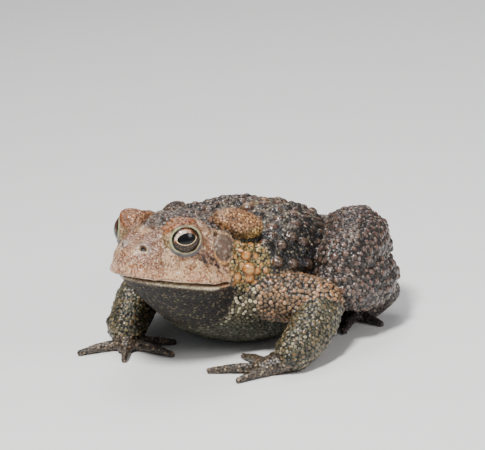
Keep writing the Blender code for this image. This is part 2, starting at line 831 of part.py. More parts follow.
def paint(pieces):
    colours = {
        "torso": material("back_skin", BACK_BROWN, 0.6),
        "head": material("head_skin", HEAD_TAN, 0.55),
        "lower_jaw": material("jaw_skin", JAW_CREAM, 0.55),
        "parotoid": material("gland_skin", GLAND_ORANGE, 0.5),
        "tympanum": material("eardrum_skin", EARDRUM_GREY, 0.5),
        "eye": material("eye", EYE_GOLD, 0.1),
    }
    limb_skin = material("limb_skin", LIMB_OLIVE, 0.6)
    for obj in pieces:
        names = [key for key in colours if obj.name.startswith(key)]
        obj.data.materials.clear()
        obj.data.materials.append(colours[names[0]] if names else limb_skin)
        obj.data.shade_smooth()


def build():
    clear_scene()
    parts = collection("american_toad")
    cutters = collection("cutters")
    body = head_and_trunk(parts)
    shape_head(body)
    trunk_warts(body)
    pieces = head_pieces(parts, cutters, body)
    body_form = clearance(thinned(body, TRIANGLES["body_form"]), cutters)
    bpy.data.objects.remove(body, do_unlink=True)
    pieces += limbs(parts, cutters, body_form)
    middle = finish(parts, pieces, cutters)
    paint(pieces)
    return middle


if __name__ == "__main__":
    build()
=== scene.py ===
"""Dresses an American toad, at life size, over its solid frame.

The flesh of the frame becomes one closed skin, which is smoothed, then sculpted with lids, lips,
nostrils, eardrums, glands, warts and pebbled grain. The eyes are pieces of their own. Shapes are
worked out in millimetres in the toad's own frame: it faces -Y, its left side is +X, and its lip
is at LIP_FRONT and LIP_HEIGHT. A plain studio with soft light goes round it.
"""

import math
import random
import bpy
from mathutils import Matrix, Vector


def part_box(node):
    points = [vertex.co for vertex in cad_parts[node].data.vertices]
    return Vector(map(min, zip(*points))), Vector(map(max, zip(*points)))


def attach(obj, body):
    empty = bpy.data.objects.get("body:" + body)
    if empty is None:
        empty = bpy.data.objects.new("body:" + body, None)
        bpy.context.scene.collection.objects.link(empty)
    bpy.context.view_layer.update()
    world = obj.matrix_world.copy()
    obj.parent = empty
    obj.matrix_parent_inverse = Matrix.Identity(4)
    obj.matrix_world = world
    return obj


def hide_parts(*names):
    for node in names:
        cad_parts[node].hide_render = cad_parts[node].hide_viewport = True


bl_info = {
    "name": "American Toad",
    "version": (1, 0, 0),
    "blender": (4, 5, 0),
    "location": "View3D > Sidebar > Toad",
    "description": "A life-size American toad with warty skin, in a plain studio",
    "category": "Object",
}

import bmesh
import bpy
import numpy as np
from bpy.props import FloatProperty, FloatVectorProperty, IntProperty, PointerProperty
from mathutils import Matrix, Vector
from mathutils.bvhtree import BVHTree
from mathutils.kdtree import KDTree

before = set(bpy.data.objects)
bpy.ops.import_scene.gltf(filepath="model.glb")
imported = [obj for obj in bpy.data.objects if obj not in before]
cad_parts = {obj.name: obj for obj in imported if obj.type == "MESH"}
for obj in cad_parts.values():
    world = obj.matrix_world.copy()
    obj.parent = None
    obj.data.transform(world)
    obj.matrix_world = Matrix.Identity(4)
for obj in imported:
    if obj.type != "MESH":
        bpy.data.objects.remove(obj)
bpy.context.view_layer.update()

# Sizes in millimetres, as in the toad's frame
METRE = 1000.0
LIP_FRONT = -36.0
LIP_HEIGHT = 27.0
HEAD_PITCH = math.radians(14.0)
MOUTH_LEVEL = -0.8
MOUTH_SLOPE = 0.05
MOUTH_RISE = 0.7
MOUTH_CORNER = 21.0
EYE_PLACE = (8.3, 11.0, 8.9)
EYE_AXIS = (0.81, -0.55, 0.20)
LID_OPENING = (3.85, 3.45)
PUPIL_TILT = math.radians(3.0)
PUPIL_HALF = (0.51, 0.31)
PUPIL_LIFT = 0.07
# How much painted light the far eye's iris keeps; the rest of it is painted shade
FAR_EYE_LIGHT = 0.05
NOSTRIL_PLACE = (3.3, 2.8, 6.05)
NOSTRIL_HALF = (0.95, 0.62)
EAR_PLACE = (13.6, 19.2, 7.2)
EAR_HALF = (2.65, 3.55)
EAR_LEAN = math.radians(10.0)
EAR_OUTWARD = (0.95, -0.22, 0.10)
GLAND_FRONT = (8.6, -12.0, 34.0)
GLAND_REAR = (14.4, -2.4, 29.6)
GLAND_SHIFT = {"left": (0.0, 0.0, 0.8), "right": (0.0, 3.0, -1.0)}
GLAND_HALF_WIDTH = 3.3
GLAND_OUTWARD = (0.72, -0.1, 0.68)
SIDES = (("left", 1.0), ("right", -1.0))

# Nodes of the body, which smooth as one, and how the names of each region's nodes start
BODY = ("torso", "head", "lower_jaw", "parotoid_left", "parotoid_right", "tympanum_left",
        "tympanum_right", "eye_left", "eye_right")
REGIONS = {
    "gland_frame": ("parotoid",),
    "head": ("head", "parotoid", "tympanum", "eye"),
    "jaw": ("lower_jaw",),
    "torso": ("torso",),
    "arm": ("upper_arm", "forearm"),
    "forearm": ("forearm",),
    "hand": ("hand", "finger"),
    "leg": ("thigh", "shank"),
    "foot": ("tarsus", "foot", "toe"),
}


def shade(red, green, blue):
    """A colour given as it looks on a screen, as the linear light that a shader works in."""
    values = []
    for value in (red, green, blue):
        part = value / 255.0
        values.append(part / 12.92 if part <= 0.04045 else ((part + 0.055) / 1.055) ** 2.4)
    return tuple(values)


def head_place(x, back, up):
    """A point of the head, given sideways, back from the lip and up from the mouth."""
    y = LIP_FRONT + back * math.cos(HEAD_PITCH) + up * math.sin(HEAD_PITCH)
    z = LIP_HEIGHT - back * math.sin(HEAD_PITCH) + up * math.cos(HEAD_PITCH)
    return np.array((x, y, z))


def own_origin():
    """Where the toad's own frame starts in the solid frame, read from the left eye."""
    low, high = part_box("eye_left")
    return np.array((low + high) / 2) * METRE - head_place(*EYE_PLACE)


ORIGIN = own_origin()
EYE_RADIUS = (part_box("eye_left")[1].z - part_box("eye_left")[0].z) * METRE / 2


def to_frame(points):
    return (np.asarray(points) + ORIGIN) / METRE


def step(low, high, value):
    """Eases from 0 at low to 1 at high."""
    t = np.clip((value - low) / (high - low), 0.0, 1.0)
    return t * t * (3.0 - 2.0 * t)


def bump(distance, width):
    """A rounded hill of height 1 over a distance."""
    return np.exp(-(distance / width) ** 2)


def unit(vector):
    vector = np.asarray(vector, float)
    return vector / np.linalg.norm(vector)


def facing(axis, side=1.0):
    """Across, up and outward directions of a patch of the head that looks along an axis."""
    outward = unit((axis[0] * side, axis[1], axis[2]))
    across = unit(np.cross((0.0, 0.0, 1.0), outward))
    return across, np.cross(outward, across), outward


class Skin:
    """The skin's points and normals in millimetres, with what is known at each point."""

    def __init__(self, mesh):
        self.mesh = mesh
        count = len(mesh.vertices)
        self.points = np.empty(count * 3)
        mesh.vertices.foreach_get("co", self.points)
        self.points = self.points.reshape(-1, 3)
        edges = np.empty(len(mesh.edges) * 2, np.int32)
        mesh.edges.foreach_get("vertices", edges)
        self.one, self.two = edges.reshape(-1, 2).T
        self.degree = np.bincount(self.one, minlength=count) + np.bincount(self.two, minlength=count)
        self.degree = np.maximum(self.degree, 1)
        self.masks = {}
        self.find_normals()

    def find_normals(self):
        self.mesh.vertices.foreach_set("co", self.points.ravel())
        self.mesh.update()
        self.normals = np.empty(len(self.points) * 3)
        self.mesh.vertices.foreach_get("normal", self.normals)
        self.normals = self.normals.reshape(-1, 3)

    def mean(self, values):
        """The mean of each point's neighbours."""
        if values.ndim == 1:
            total = np.bincount(self.one, values[self.two], len(values))
            total += np.bincount(self.two, values[self.one], len(values))
            return total / self.degree
        return np.stack([self.mean(column) for column in values.T], 1)

    def ease(self, values, rounds):
        for _ in range(rounds):
            values = 0.5 * (values + self.mean(values))
        return values

    def lift(self, height):
        self.points += self.normals * height[:, None]

    def head(self):
        """Each point sideways, back from the lip and up from the mouth."""
        x = self.points[:, 0]
        y = self.points[:, 1] - LIP_FRONT
        z = self.points[:, 2] - LIP_HEIGHT
        sin, cos = math.sin(HEAD_PITCH), math.cos(HEAD_PITCH)
        return x, y * cos - z * sin, y * sin + z * cos


def joined_nodes(names, grow):
    """The frame's nodes as one loose mesh in millimetres, each grown a little to close the gaps."""
    bm = bmesh.new()
    owners = []
    for number, name in enumerate(names):
        part = bmesh.new()
        part.from_mesh(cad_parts[name].data)
        bmesh.ops.remove_doubles(part, verts=part.verts, dist=1e-6)
        bmesh.ops.triangulate(part, faces=part.faces)
        for vert in part.verts:
            vert.co = Vector(np.array(vert.co) * METRE - ORIGIN)
        part.normal_update()
        moved = [vert.co + vert.normal * grow for vert in part.verts]
        for vert, place in zip(part.verts, moved):
            vert.co = place
        owners += [number] * len(part.faces)
        loose = bpy.data.meshes.new("loose")
        part.to_mesh(loose)
        part.free()
        bm.from_mesh(loose)
        bpy.data.meshes.remove(loose)
    mesh = bpy.data.meshes.new("flesh")
    bm.to_mesh(mesh)
    tree = BVHTree.FromBMesh(bm)
    bm.free()
    return mesh, tree, owners


def applied(obj):
    """The object's mesh with its modifiers applied."""
    bpy.context.view_layer.update()
    evaluated = obj.evaluated_get(bpy.context.evaluated_depsgraph_get())
    mesh = bpy.data.meshes.new_from_object(evaluated)
    obj.modifiers.clear()
    obj.data = mesh
    return mesh


# Growth of each node in millimetres, which closes the gaps, and the share of it taken back
GROWTH = 0.25
GROWTH_TAKEN_BACK = 0.8
# Each round of smoothing steps in, then a little further out, so that the form doesn't shrink
STEP_IN = 0.5
STEP_OUT = 0.53
FOLDS_KEPT = 0.85
FINGERS_KEPT = 0.9
MASK_ROUNDS = 5


def smooth_form(skin, owner_group, rounds):
    """Take the frame's coarse warts away but keep folds where one limb lies against another."""
    meets = owner_group[skin.one] != owner_group[skin.two]
    fold = np.zeros(len(skin.points))
    fold[skin.one[meets]] = 1.0
    fold[skin.two[meets]] = 1.0
    near = fold.copy()
    for _ in range(3):
        near = np.maximum(near, skin.mean(near) * 1.4).clip(0.0, 1.0)
    free = 1.0 - skin.ease(near, 4) * FOLDS_KEPT
    free *= 1.0 - FINGERS_KEPT * skin.ease(skin.masks["hand"] + skin.masks["foot"], 2)
    for _ in range(rounds):
        skin.points += free[:, None] * STEP_IN * (skin.mean(skin.points) - skin.points)
        skin.points -= free[:, None] * STEP_OUT * (skin.mean(skin.points) - skin.points)
    return fold


def smoothing_group(name):
    """The body or the limb that a node smooths with."""
    if name in BODY:
        return "body"
    side = "left" if "_left" in name else "right"
    if name.startswith(REGIONS["arm"] + REGIONS["hand"]):
        return "arm_" + side
    return ("thigh_" if name.startswith("thigh") else "shank_") + side


def closed_skin(voxel, rounds):
    """One smooth closed surface over all the flesh, with a mask for each region."""
    names = sorted(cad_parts)
    mesh, tree, owners = joined_nodes(names, GROWTH)
    obj = bpy.data.objects.new("skin", mesh)
    bpy.context.scene.collection.objects.link(obj)
    remesh = obj.modifiers.new("skin", "REMESH")
    remesh.mode = "VOXEL"
    remesh.voxel_size = voxel
    skin = Skin(applied(obj))
    owner = np.array([owners[tree.find_nearest(Vector(p))[2]] for p in skin.points])
    for region, starts in REGIONS.items():
        belongs = np.array([name.startswith(starts) for name in names], float)
        skin.masks[region] = belongs[owner]
    groups = [smoothing_group(name) for name in names]
    kinds = sorted(set(groups))
    group = np.array([kinds.index(kind) for kind in groups])[owner]
    skin.masks["fold"] = smooth_form(skin, group, rounds)
    skin.find_normals()
    skin.lift(np.full(len(skin.points), -GROWTH * GROWTH_TAKEN_BACK))
    for name in skin.masks:
        values = skin.ease(skin.masks[name], MASK_ROUNDS)
        layer = skin.mesh.attributes.new(name, "FLOAT", "POINT")
        layer.data.foreach_set("value", values.astype(np.float32))
    skin.find_normals()
    finer = obj.modifiers.new("finer", "SUBSURF")
    finer.levels = 1
    finer.render_levels = 1
    fine = Skin(applied(obj))
    for name in skin.masks:
        values = np.empty(len(fine.points))
        fine.mesh.attributes[name].data.foreach_get("value", values)
        fine.masks[name] = values
        fine.mesh.attributes.remove(fine.mesh.attributes[name])
    return obj, fine


def ridge(skin, chain, half_width):
    """How near each point is to a chain of head places: 1 on it, 0 past the half width."""
    nearest = np.full(len(skin.points), 99.0)
    places = [head_place(*place) for place in chain]
    for start, end in zip(places, places[1:]):
        along = end - start
        t = np.clip((skin.points - start) @ along / (along @ along), 0.0, 1.0)
        gap = np.linalg.norm(skin.points - start - t[:, None] * along, axis=1)
        nearest = np.minimum(nearest, gap)
    return np.clip(1.0 - (nearest / half_width) ** 2, 0.0, 1.0) ** 2


def keep_most(skin, name, values):
    """Add a mask, or what it has more of than the mask before it."""
    skin.masks[name] = np.maximum(skin.masks.get(name, 0.0), values)


# Round each eye, places are in shares of the lid's opening, where 1 is its edge, and heights in
# millimetres over the eyeball. Angles in degrees go from the lid's front corner up.
LID_REACH = 2.2
LID_BEHIND = 0.4
LID_PULL = 0.25
LID_STEP = (0.97, 1.02)
LID_STAND = 0.26
LID_BLEND = (1.16, 1.7)
EYE_SUNK = 0.8
BROW_HALF_WIDTH = 0.11
BROW_HEIGHT = 0.5


def lid_height(oval, under, radius):
    """How far the skin round an eye stands from its middle, from inside the opening out."""
    edge = radius + LID_STAND
    sunk = radius - EYE_SUNK
    low, high = LID_STEP
    height = np.where(oval < low, sunk, edge)
    rising = (oval >= low) & (oval < high)
    height = np.where(rising, sunk + (edge - sunk) * (oval - low) / (high - low), height)
    rim = 0.1 * bump(oval - 1.05, 0.04)
    dome = 0.2 * step(1.15, 1.4, oval)
    fleshy_ring = 0.2 * bump(oval - 1.2, 0.09)
    furrow = 0.22 * bump(oval - 1.36, 0.05)
    return height + rim + dome + under * (fleshy_ring - furrow)


def colour_lid(skin, oval, along, rise, near, under, outward_way, dome):
    """Masks of a lid's bright edge, its fleshy ring, its front corner, the eye, the brow and the dome."""
    angle = np.degrees(np.arctan2(rise, along))
    bright = step(-80.0, -35.0, angle) * step(85.0, 50.0, angle) + step(95.0, 125.0, angle)
    edge = bump(oval - 1.035 - 0.012 * bright, 0.032 + 0.018 * bright)
    keep_most(skin, "lid_edge", edge * (0.45 + 0.55 * bright) * near)
    outer = 1.05 + 0.25 * under
    keep_most(skin, "lid", step(1.0, 1.06, oval) * (1.0 - step(outer, outer + 0.08, oval)) * near)
    corner = step(0.7, 1.0, along) * (1.0 - step(1.3, 1.5, oval)) * (1.0 - step(0.35, 0.75, abs(rise)))
    keep_most(skin, "lid_corner", step(1.1, 1.2, oval) * corner * near)
    # The skin sunk inside the opening, which is coloured near black as painted shade
    keep_most(skin, "socket", (1.0 - step(0.96, 1.0, oval)) * near)
    path = 1.2 + 0.13 * step(60.0, 20.0, angle) + 0.36 * np.clip((angle - 90.0) / 48.0, 0.0, 1.0) ** 2
    length = step(6.0, 22.0, angle) * step(148.0, 134.0, angle) * near * (outward_way > -0.3)
    keep_most(skin, "brow", np.clip(1.0 - ((oval - path) / BROW_HALF_WIDTH) ** 2, 0.0, 1.0) * length)
    above = np.where(length > 0.5, path + 2.2 * BROW_HALF_WIDTH, 1.3)
    outside = np.maximum(step(above, above + 0.12, oval), step(0.45, 0.2, outward_way))
    keep_most(skin, "lid_dome", dome * outside)


def shape_lids(skin, radius):
    """Open each lid over its eye, with a thin edge, a fleshy ring and a granular brow."""
    for _, side in SIDES:
        centre = head_place(EYE_PLACE[0] * side, *EYE_PLACE[1:])
        across, up, outward = facing(EYE_AXIS, side)
        offset = skin.points - centre
        distance = np.linalg.norm(offset, axis=1)
        s, t, w = offset @ across, offset @ up, offset @ outward
        oval = np.sqrt((s / LID_OPENING[0]) ** 2 + (t / LID_OPENING[1]) ** 2)
        near = (distance < radius * LID_REACH) & (w > -LID_BEHIND * radius)
        pull = near & (abs(oval - 1.0) < LID_PULL)
        q = np.clip((oval - 1.0) / LID_PULL, -1.0, 1.0)
        wanted = 1.0 + LID_PULL * np.sign(q) * abs(q) ** 1.6
        scale = np.where(pull, wanted / np.maximum(oval, 0.01), 1.0)
        s, t = s * scale, t * scale
        oval = np.where(pull, wanted, oval)
        away = np.minimum(np.sqrt(s**2 + t**2) / np.maximum(distance, 0.01), 0.999)
        w = np.where(pull, distance * np.sqrt(1.0 - away**2), w)
        direction = np.stack([s, t, w], 1)
        direction /= np.maximum(np.linalg.norm(direction, axis=1), 0.01)[:, None]
        under = step(-0.2, -0.9, t / LID_OPENING[1])
        keep = step(*LID_BLEND, oval)
        reach = np.where(near, lid_height(oval, under, radius) * (1.0 - keep) + distance * keep, distance)
        world = direction[:, :1] * across + direction[:, 1:2] * up + direction[:, 2:] * outward
        change = near & (oval < LID_BLEND[1])
        skin.points[change] = (centre + world * reach[:, None])[change]
        dome = (1.0 - step(radius + 1.4, radius + 2.4, distance)) * step(2.2, 3.4, offset[:, 2])
        along, rise = -s * side / LID_OPENING[0], t / LID_OPENING[1]
        colour_lid(skin, oval, along, rise, near, under, w / radius, dome)
    skin.find_normals()
    skin.lift(BROW_HEIGHT * np.sqrt(skin.masks["brow"]))
    skin.masks["brow"] = step(0.1, 0.5, skin.masks["brow"])


EAR_RIM_HEIGHT = 0.28
EAR_DEPTH = 0.3


def shape_ears(skin):
    """A thin eardrum, a little sunk, inside a narrow raised rim."""
    for _, side in SIDES:
        centre = head_place(EAR_PLACE[0] * side, *EAR_PLACE[1:])
        across, up, outward = facing(EAR_OUTWARD, side)
        lean = EAR_LEAN * side
        offset = skin.points - centre
        s, t, w = offset @ across, offset @ up, offset @ outward
        s, t = s * math.cos(lean) + t * math.sin(lean), t * math.cos(lean) - s * math.sin(lean)
        wide = EAR_HALF[0] * (1.0 - 0.16 * np.clip(t / EAR_HALF[1], -1.0, 1.2))
        oval = np.sqrt((s / wide) ** 2 + (t / EAR_HALF[1]) ** 2)
        near = (abs(w) < 3.0) & (oval < 1.8)
        keep_most(skin, "ear", (1.0 - step(0.88, 1.0, oval)) * near)
        keep_most(skin, "ear_rim", bump(oval - 1.06, 0.085) * near)
        gold = step(0.4, -0.3, t / EAR_HALF[1]) * step(0.3, -0.5, s * side / EAR_HALF[0])
        keep_most(skin, "ear_gold", bump(oval - 1.05, 0.09) * near * gold)
    skin.lift(EAR_RIM_HEIGHT * skin.masks["ear_rim"] - EAR_DEPTH * skin.masks["ear"])


# A slit between each gland and eardrum, darkened with painted shade: sideways, back, up
SLIT = ((12.4, 20.2, 11.3), (13.2, 22.2, 10.4), (13.6, 24.2, 8.9), (14.2, 26.0, 8.2))
SLIT_HALF_WIDTH = 0.85
GLAND_EDGE = (0.85, 1.08)
GLAND_HEIGHT = 0.3
GLAND_GROOVE_DEPTH = 0.5
# The far gland keeps its own colour only on its outer part
FAR_GLAND_BARE = 0.85


def shape_glands(skin):
    """The large gland behind each eye, with a groove round it, darkened with painted shade."""
    for name, side in SIDES:
        shift = np.array(GLAND_SHIFT[name])
        front, rear = (np.array((p[0] * side, *p[1:])) + shift for p in (GLAND_FRONT, GLAND_REAR))
        along = unit(rear - front)
        outward = np.array((GLAND_OUTWARD[0] * side, *GLAND_OUTWARD[1:]))
        across = unit(np.cross(along, outward))
        outward = unit(np.cross(across, along)) * np.sign(np.cross(across, along) @ outward)
        offset = skin.points - (front + rear) / 2
        a, b, w = offset @ along, offset @ across, offset @ outward
        half_length = np.linalg.norm(rear - front) / 2 + 0.5
        oval = np.sqrt((a / half_length) ** 2 + (b / GLAND_HALF_WIDTH) ** 2)
        near = (w > -1.5) & (w < 5.0) & (oval < 1.8)
        inside = (1.0 - step(*GLAND_EDGE, oval)) * near
        low = -offset[:, 2] / GLAND_HALF_WIDTH
        share = 1.0 if side > 0 else 1.0 - FAR_GLAND_BARE * step(-1.0, 1.0, offset[:, 0])
        keep_most(skin, "gland", inside)
        keep_most(skin, "gland_skin", share * inside)
        keep_most(skin, "gland_low", inside * step(0.1, 0.8, low))
        groove = bump(oval - 1.14, 0.09) * near
        keep_most(skin, "gland_groove", groove * (0.35 + 0.65 * step(0.0, 0.7, low)))
    slits = [ridge(skin, [(x * side, b, u) for x, b, u in SLIT], SLIT_HALF_WIDTH) for _, side in SIDES]
    keep_most(skin, "gland_groove", np.clip(1.6 * np.maximum(*slits), 0.0, 1.0))
    skin.lift(GLAND_HEIGHT * skin.masks["gland"] - GLAND_GROOVE_DEPTH * skin.masks["gland_groove"])


def mouth_level(back):
    """Height of the line of the mouth, which drops a little and then turns up at its corner."""
    turn = step(MOUTH_CORNER - 5.0, MOUTH_CORNER + 0.5, back)
    return MOUTH_LEVEL - MOUTH_SLOPE * back + MOUTH_RISE * turn


# Heights and depths round the mouth and the nostrils
UPPER_LIP_HEIGHT = 0.3
LOWER_LIP_HEIGHT = 0.35
MOUTH_DEPTH = 0.75
NOSTRIL_RIM_HEIGHT = 0.16
NOSTRIL_DEPTH = 0.8


def shape_mouth(skin):
    """The line of the mouth between its lips."""
    _, back, up = skin.head()
    m = skin.masks
    on_head = step(0.2, 0.6, m["head"] + m["jaw"])
    level = up - mouth_level(back)
    length = (1.0 - step(MOUTH_CORNER - 0.6, MOUTH_CORNER + 0.6, back)) * on_head
    groove = bump(level, 0.26) * length
    upper = bump(level - 0.8, 0.6) * length
    lower = bump(level + 0.7, 0.45) * length * step(2.0, 6.0, back)
    # The groove of the mouth, which is darkened with painted shade
    m["mouth"] = bump(level, 0.3) * length
    m["lower_lip"] = bump(level + 0.66, 0.36) * length * step(4.0, 7.5, back) * step(19.5, 17.0, back)
    m["upper_lip"] = bump(level - 1.4, 1.5) * length
    m["lip_edge"] = bump(level - 0.42, 0.28) * length
    skin.lift(UPPER_LIP_HEIGHT * upper + LOWER_LIP_HEIGHT * lower - MOUTH_DEPTH * groove)
    skin.find_normals()


def shape_nostrils(skin):
    """A small oval hole with a low rim on each side of the snout."""
    nostril = np.zeros(len(skin.points))
    rim = np.zeros(len(skin.points))
    for _, side in SIDES:
        place = head_place(NOSTRIL_PLACE[0] * side, *NOSTRIL_PLACE[1:])
        spot = np.argmin(np.linalg.norm(skin.points - place, axis=1))
        outward = unit(skin.ease(skin.normals, 3)[spot])
        along = unit(np.cross(outward, (0.3 * side, 0.2, 1.0)))
        offset = skin.points - skin.points[spot]
        s, t = offset @ along, offset @ np.cross(outward, along)
        oval = np.sqrt((s / NOSTRIL_HALF[0]) ** 2 + (t / NOSTRIL_HALF[1]) ** 2)
        near = np.linalg.norm(offset, axis=1) < 3.0
        nostril = np.maximum(nostril, (1.0 - step(0.55, 1.25, oval)) * near)
        rim = np.maximum(rim, bump(oval - 1.75, 0.5) * near)
    skin.lift(NOSTRIL_RIM_HEIGHT * rim - NOSTRIL_DEPTH * nostril)
    # The nostril's hole, which is coloured black as painted shade
    skin.masks["nostril"] = nostril
    skin.masks["nostril_rim"] = rim


# How far the back is let down, where along the body it is most, and how far that reaches
BACK_DROP = 2.8
BACK_MIDDLE = 0.5
BACK_REACH = 12.0
# Ridges of the head: sideways, back, up
CREST = ((3.4, 5.5, 8.6), (4.6, 8.5, 10.6), (5.6, 12.0, 12.4), (7.0, 16.2, 13.2), (11.0, 17.6, 12.2))
CREST_HALF_WIDTH = 1.25
CREST_HEIGHT = 0.5
CANTHUS = ((2.6, 3.2, 6.6), (4.2, 6.0, 8.2), (5.4, 8.4, 9.6))
CANTHUS_HALF_WIDTH = 1.6
CANTHUS_SHARE = 0.8


def lower_back(skin):
    """Let the back down a little between the glands, where the frame stands too high."""
    y, z = skin.points[:, 1], skin.points[:, 2]
    drop = BACK_DROP * bump(y - BACK_MIDDLE, BACK_REACH) * step(26.0, 32.0, z) * (1.0 - skin.masks["head"])
    skin.points[:, 2] -= drop * (1.0 - step(0.1, 0.5, skin.masks["gland_frame"]))


def shape_head(skin):
    """Crests from the snout over the eyes, then lids, ears, glands, lips and nostrils."""
    crest = np.zeros(len(skin.points))
    for _, side in SIDES:
        over_eye, over_nostril = ([(x * side, b, u) for x, b, u in chain] for chain in (CREST, CANTHUS))
        crest = np.maximum(crest, ridge(skin, over_eye, CREST_HALF_WIDTH))
        crest = np.maximum(crest, CANTHUS_SHARE * ridge(skin, over_nostril, CANTHUS_HALF_WIDTH))
    skin.lift(CREST_HEIGHT * crest)
    skin.masks["crest"] = crest
    skin.find_normals()
    shape_lids(skin, EYE_RADIUS)
    skin.find_normals()
    shape_ears(skin)
    shape_glands(skin)
    skin.find_normals()
    shape_mouth(skin)
    shape_nostrils(skin)
    skin.find_normals()


# A dark streak runs from behind each eye to the corner of the mouth: sideways, back, up
STREAK = ((12.6, 13.4, 5.2), (13.5, 15.6, 3.8), (14.2, 18.0, 2.3), (14.6, 19.8, 0.9))
STREAK_HALF_WIDTH = 2.1
# Length in millimetres and seed of the rolling fields that break up the streak and the pale back
STREAK_BREAKS = (1.5, 5)
TOP_BREAKS = (5.5, 3)


def rolling(points, length, seed):
    """A smooth seeded field between about -1 and 1 that rolls over the given length."""
    draw = np.random.default_rng(seed)
    total = np.zeros(len(points))
    for _ in range(6):
        wave = unit(draw.normal(size=3)) * 2.0 * math.pi / (length * draw.uniform(0.7, 1.5))
        total += np.sin(points @ wave + draw.uniform(0.0, 2.0 * math.pi))
    return total / 2.5


def map_head(skin):
    """Where the skin is snout, crown, cheek, streak, throat and nape, by places of the head."""
    m = skin.masks
    side, back, up = skin.head()
    side = abs(side)
    head = step(0.3, 0.7, m["head"])
    open_face = head * (1.0 - m["gland"])
    m["snout"] = open_face * (1.0 - step(19.0, 22.0, back))
    m["crown"] = open_face * step(8.6, 10.4, up) * step(7.0, 11.0, back) * step(7.5, 5.0, side)
    m["crown"] = np.maximum(m["crown"], open_face * step(15.5, 18.5, back) * step(9.5, 11.5, up))
    m["cheek"] = m["snout"] * step(5.5, 3.0, up) * step(7.0, 11.0, back)
    m["tip"] = open_face * bump(np.hypot(back - 0.6, (up - 3.2) * 0.8), 2.8)
    m["canthus"] = open_face * bump(up - 7.6, 1.3) * bump(side - 3.2, 1.6) * (1.0 - step(6.0, 9.0, back))
    streak = np.zeros(len(skin.points))
    for _, hand in SIDES:
        chain = [(x * hand, b, u) for x, b, u in STREAK]
        streak = np.maximum(streak, ridge(skin, chain, STREAK_HALF_WIDTH))
    broken = 1.5 * streak * (0.62 + 0.55 * rolling(skin.points, *STREAK_BREAKS))
    m["streak"] = np.clip(broken, 0.0, 1.0) * head
    m["throat"] = step(0.4, 0.8, m["jaw"]) * (1.0 - m["lower_lip"])
    from_nape = np.hypot((back - 26.0) / 6.0, (up - 3.4) / 6.6)
    m["nape"] = step(0.2, 0.6, m["torso"] + m["head"]) * step(1.15, 0.8, from_nape) * step(10.0, 12.5, side)
    m["nape"] *= (1.0 - m["gland"]) * step(19.6, 21.4, back)


def map_body(skin):
    """Where the skin is belly, flank, chest, shoulder, pale stripe, pale back and olive arm."""
    m = skin.masks
    x, y, z = skin.points.T
    side = abs(x)
    level = skin.normals[:, 2]
    body = step(0.3, 0.7, m["torso"])
    underside = step(0.15, -0.45, level) * step(16.0, 9.0, z)
    m["belly"] = np.clip(body * (step(11.0, 5.0, z) + 0.6 * underside), 0.0, 1.0)
    m["flank"] = body * step(30.0, 26.0, z) * step(9.0, 14.0, side) * (1.0 - m["belly"])
    m["shoulder"] = body * bump(y - 3.0, 11.0) * step(9.0, 11.0, side) * step(17.0, 20.0, z)
    m["stripe"] = body * bump(x, 1.3) * step(24.0, 28.0, z)
    chest = body * step(20.5, 17.5, z) * step(-2.0, -7.0, y) * step(4.0, 6.5, z)
    upper_arm = np.clip(m["arm"] - m["forearm"], 0.0, 1.0) * step(8.0, 11.0, z)
    armpit = upper_arm * step(19.5, 17.0, side) * step(-3.0, -8.0, y) * step(21.0, 17.0, z)
    m["chest"] = np.maximum(chest, armpit)
    m["top"] = body * step(0.7, 0.92, level) * step(-0.15, 0.5, rolling(skin.points, *TOP_BREAKS))
    right_arm = step(0.3, 0.7, m["arm"] + m["hand"]) * step(-6.0, -10.0, x)
    m["olive"] = np.maximum(step(0.3, 0.7, m["forearm"]), right_arm)


def map_regions(skin):
    """Where each kind of skin is, and where the face is speckled and the underside is dry."""
    m = skin.masks
    map_head(skin)
    map_body(skin)
    m["under"] = np.clip(m["throat"] + m["belly"] + 0.5 * m["chest"], 0.0, 1.0)
    plain = m["nostril"] + m["lid"] + m["lid_edge"] + m["socket"] + m["brow"] + m["mouth"] + m["lower_lip"]
    plain += m["streak"] + m["crown"] + 0.8 * m["lid_dome"] + 0.4 * m["crest"] + 0.6 * m["ear"]
    m["speckled"] = m["snout"] * np.clip(1.0 - plain, 0.0, 1.0)


def triangles_of(skin):
    skin.mesh.calc_loop_triangles()
    tris = np.empty(len(skin.mesh.loop_triangles) * 3, np.int32)
    skin.mesh.loop_triangles.foreach_get("vertices", tris)
    return tris.reshape(-1, 3)


def scatter(skin, candidates, seed, size_at, apart):
    """Seeded places on the skin that keep clear of each other, each with its own radius."""
    spacing = np.broadcast_to(apart, len(skin.points))
    draw = np.random.default_rng(seed)
    tris = triangles_of(skin)
    a, b, c = (skin.points[tris[:, i]] for i in range(3))
    area = np.linalg.norm(np.cross(b - a, c - a), axis=1)
    pick = draw.choice(len(tris), candidates, p=area / area.sum())
    u, v = draw.random((2, candidates, 1))
    fold = u + v > 1.0
    u, v = np.where(fold, 1.0 - u, u), np.where(fold, 1.0 - v, v)
    places = a[pick] + u * (b[pick] - a[pick]) + v * (c[pick] - a[pick])
    corner = tris[pick, 0]
    radii = size_at(corner, draw.random(candidates))
    reaches = radii * spacing[corner]
    cell = max(float(reaches.max()) * 2.0, 0.1)
    cells = np.floor(places / cell).astype(int)
    around = [(i, j, k) for i in (-1, 0, 1) for j in (-1, 0, 1) for k in (-1, 0, 1)]
    grid = {}
    kept = []
    for i in np.nonzero(radii > 0.0)[0]:
        px, py, pz = places[i].tolist()
        reach = reaches[i]
        kx, ky, kz = cells[i].tolist()
        near = [spot for dx, dy, dz in around for spot in grid.get((kx + dx, ky + dy, kz + dz), ())]
        gaps = ((qx - px) ** 2 + (qy - py) ** 2 + (qz - pz) ** 2 - (reach + far) ** 2
                for qx, qy, qz, far in near)
        if all(gap > 0.0 for gap in gaps):
            grid.setdefault((kx, ky, kz), []).append((px, py, pz, reach))
            kept.append(i)
    return places[kept], radii[kept]


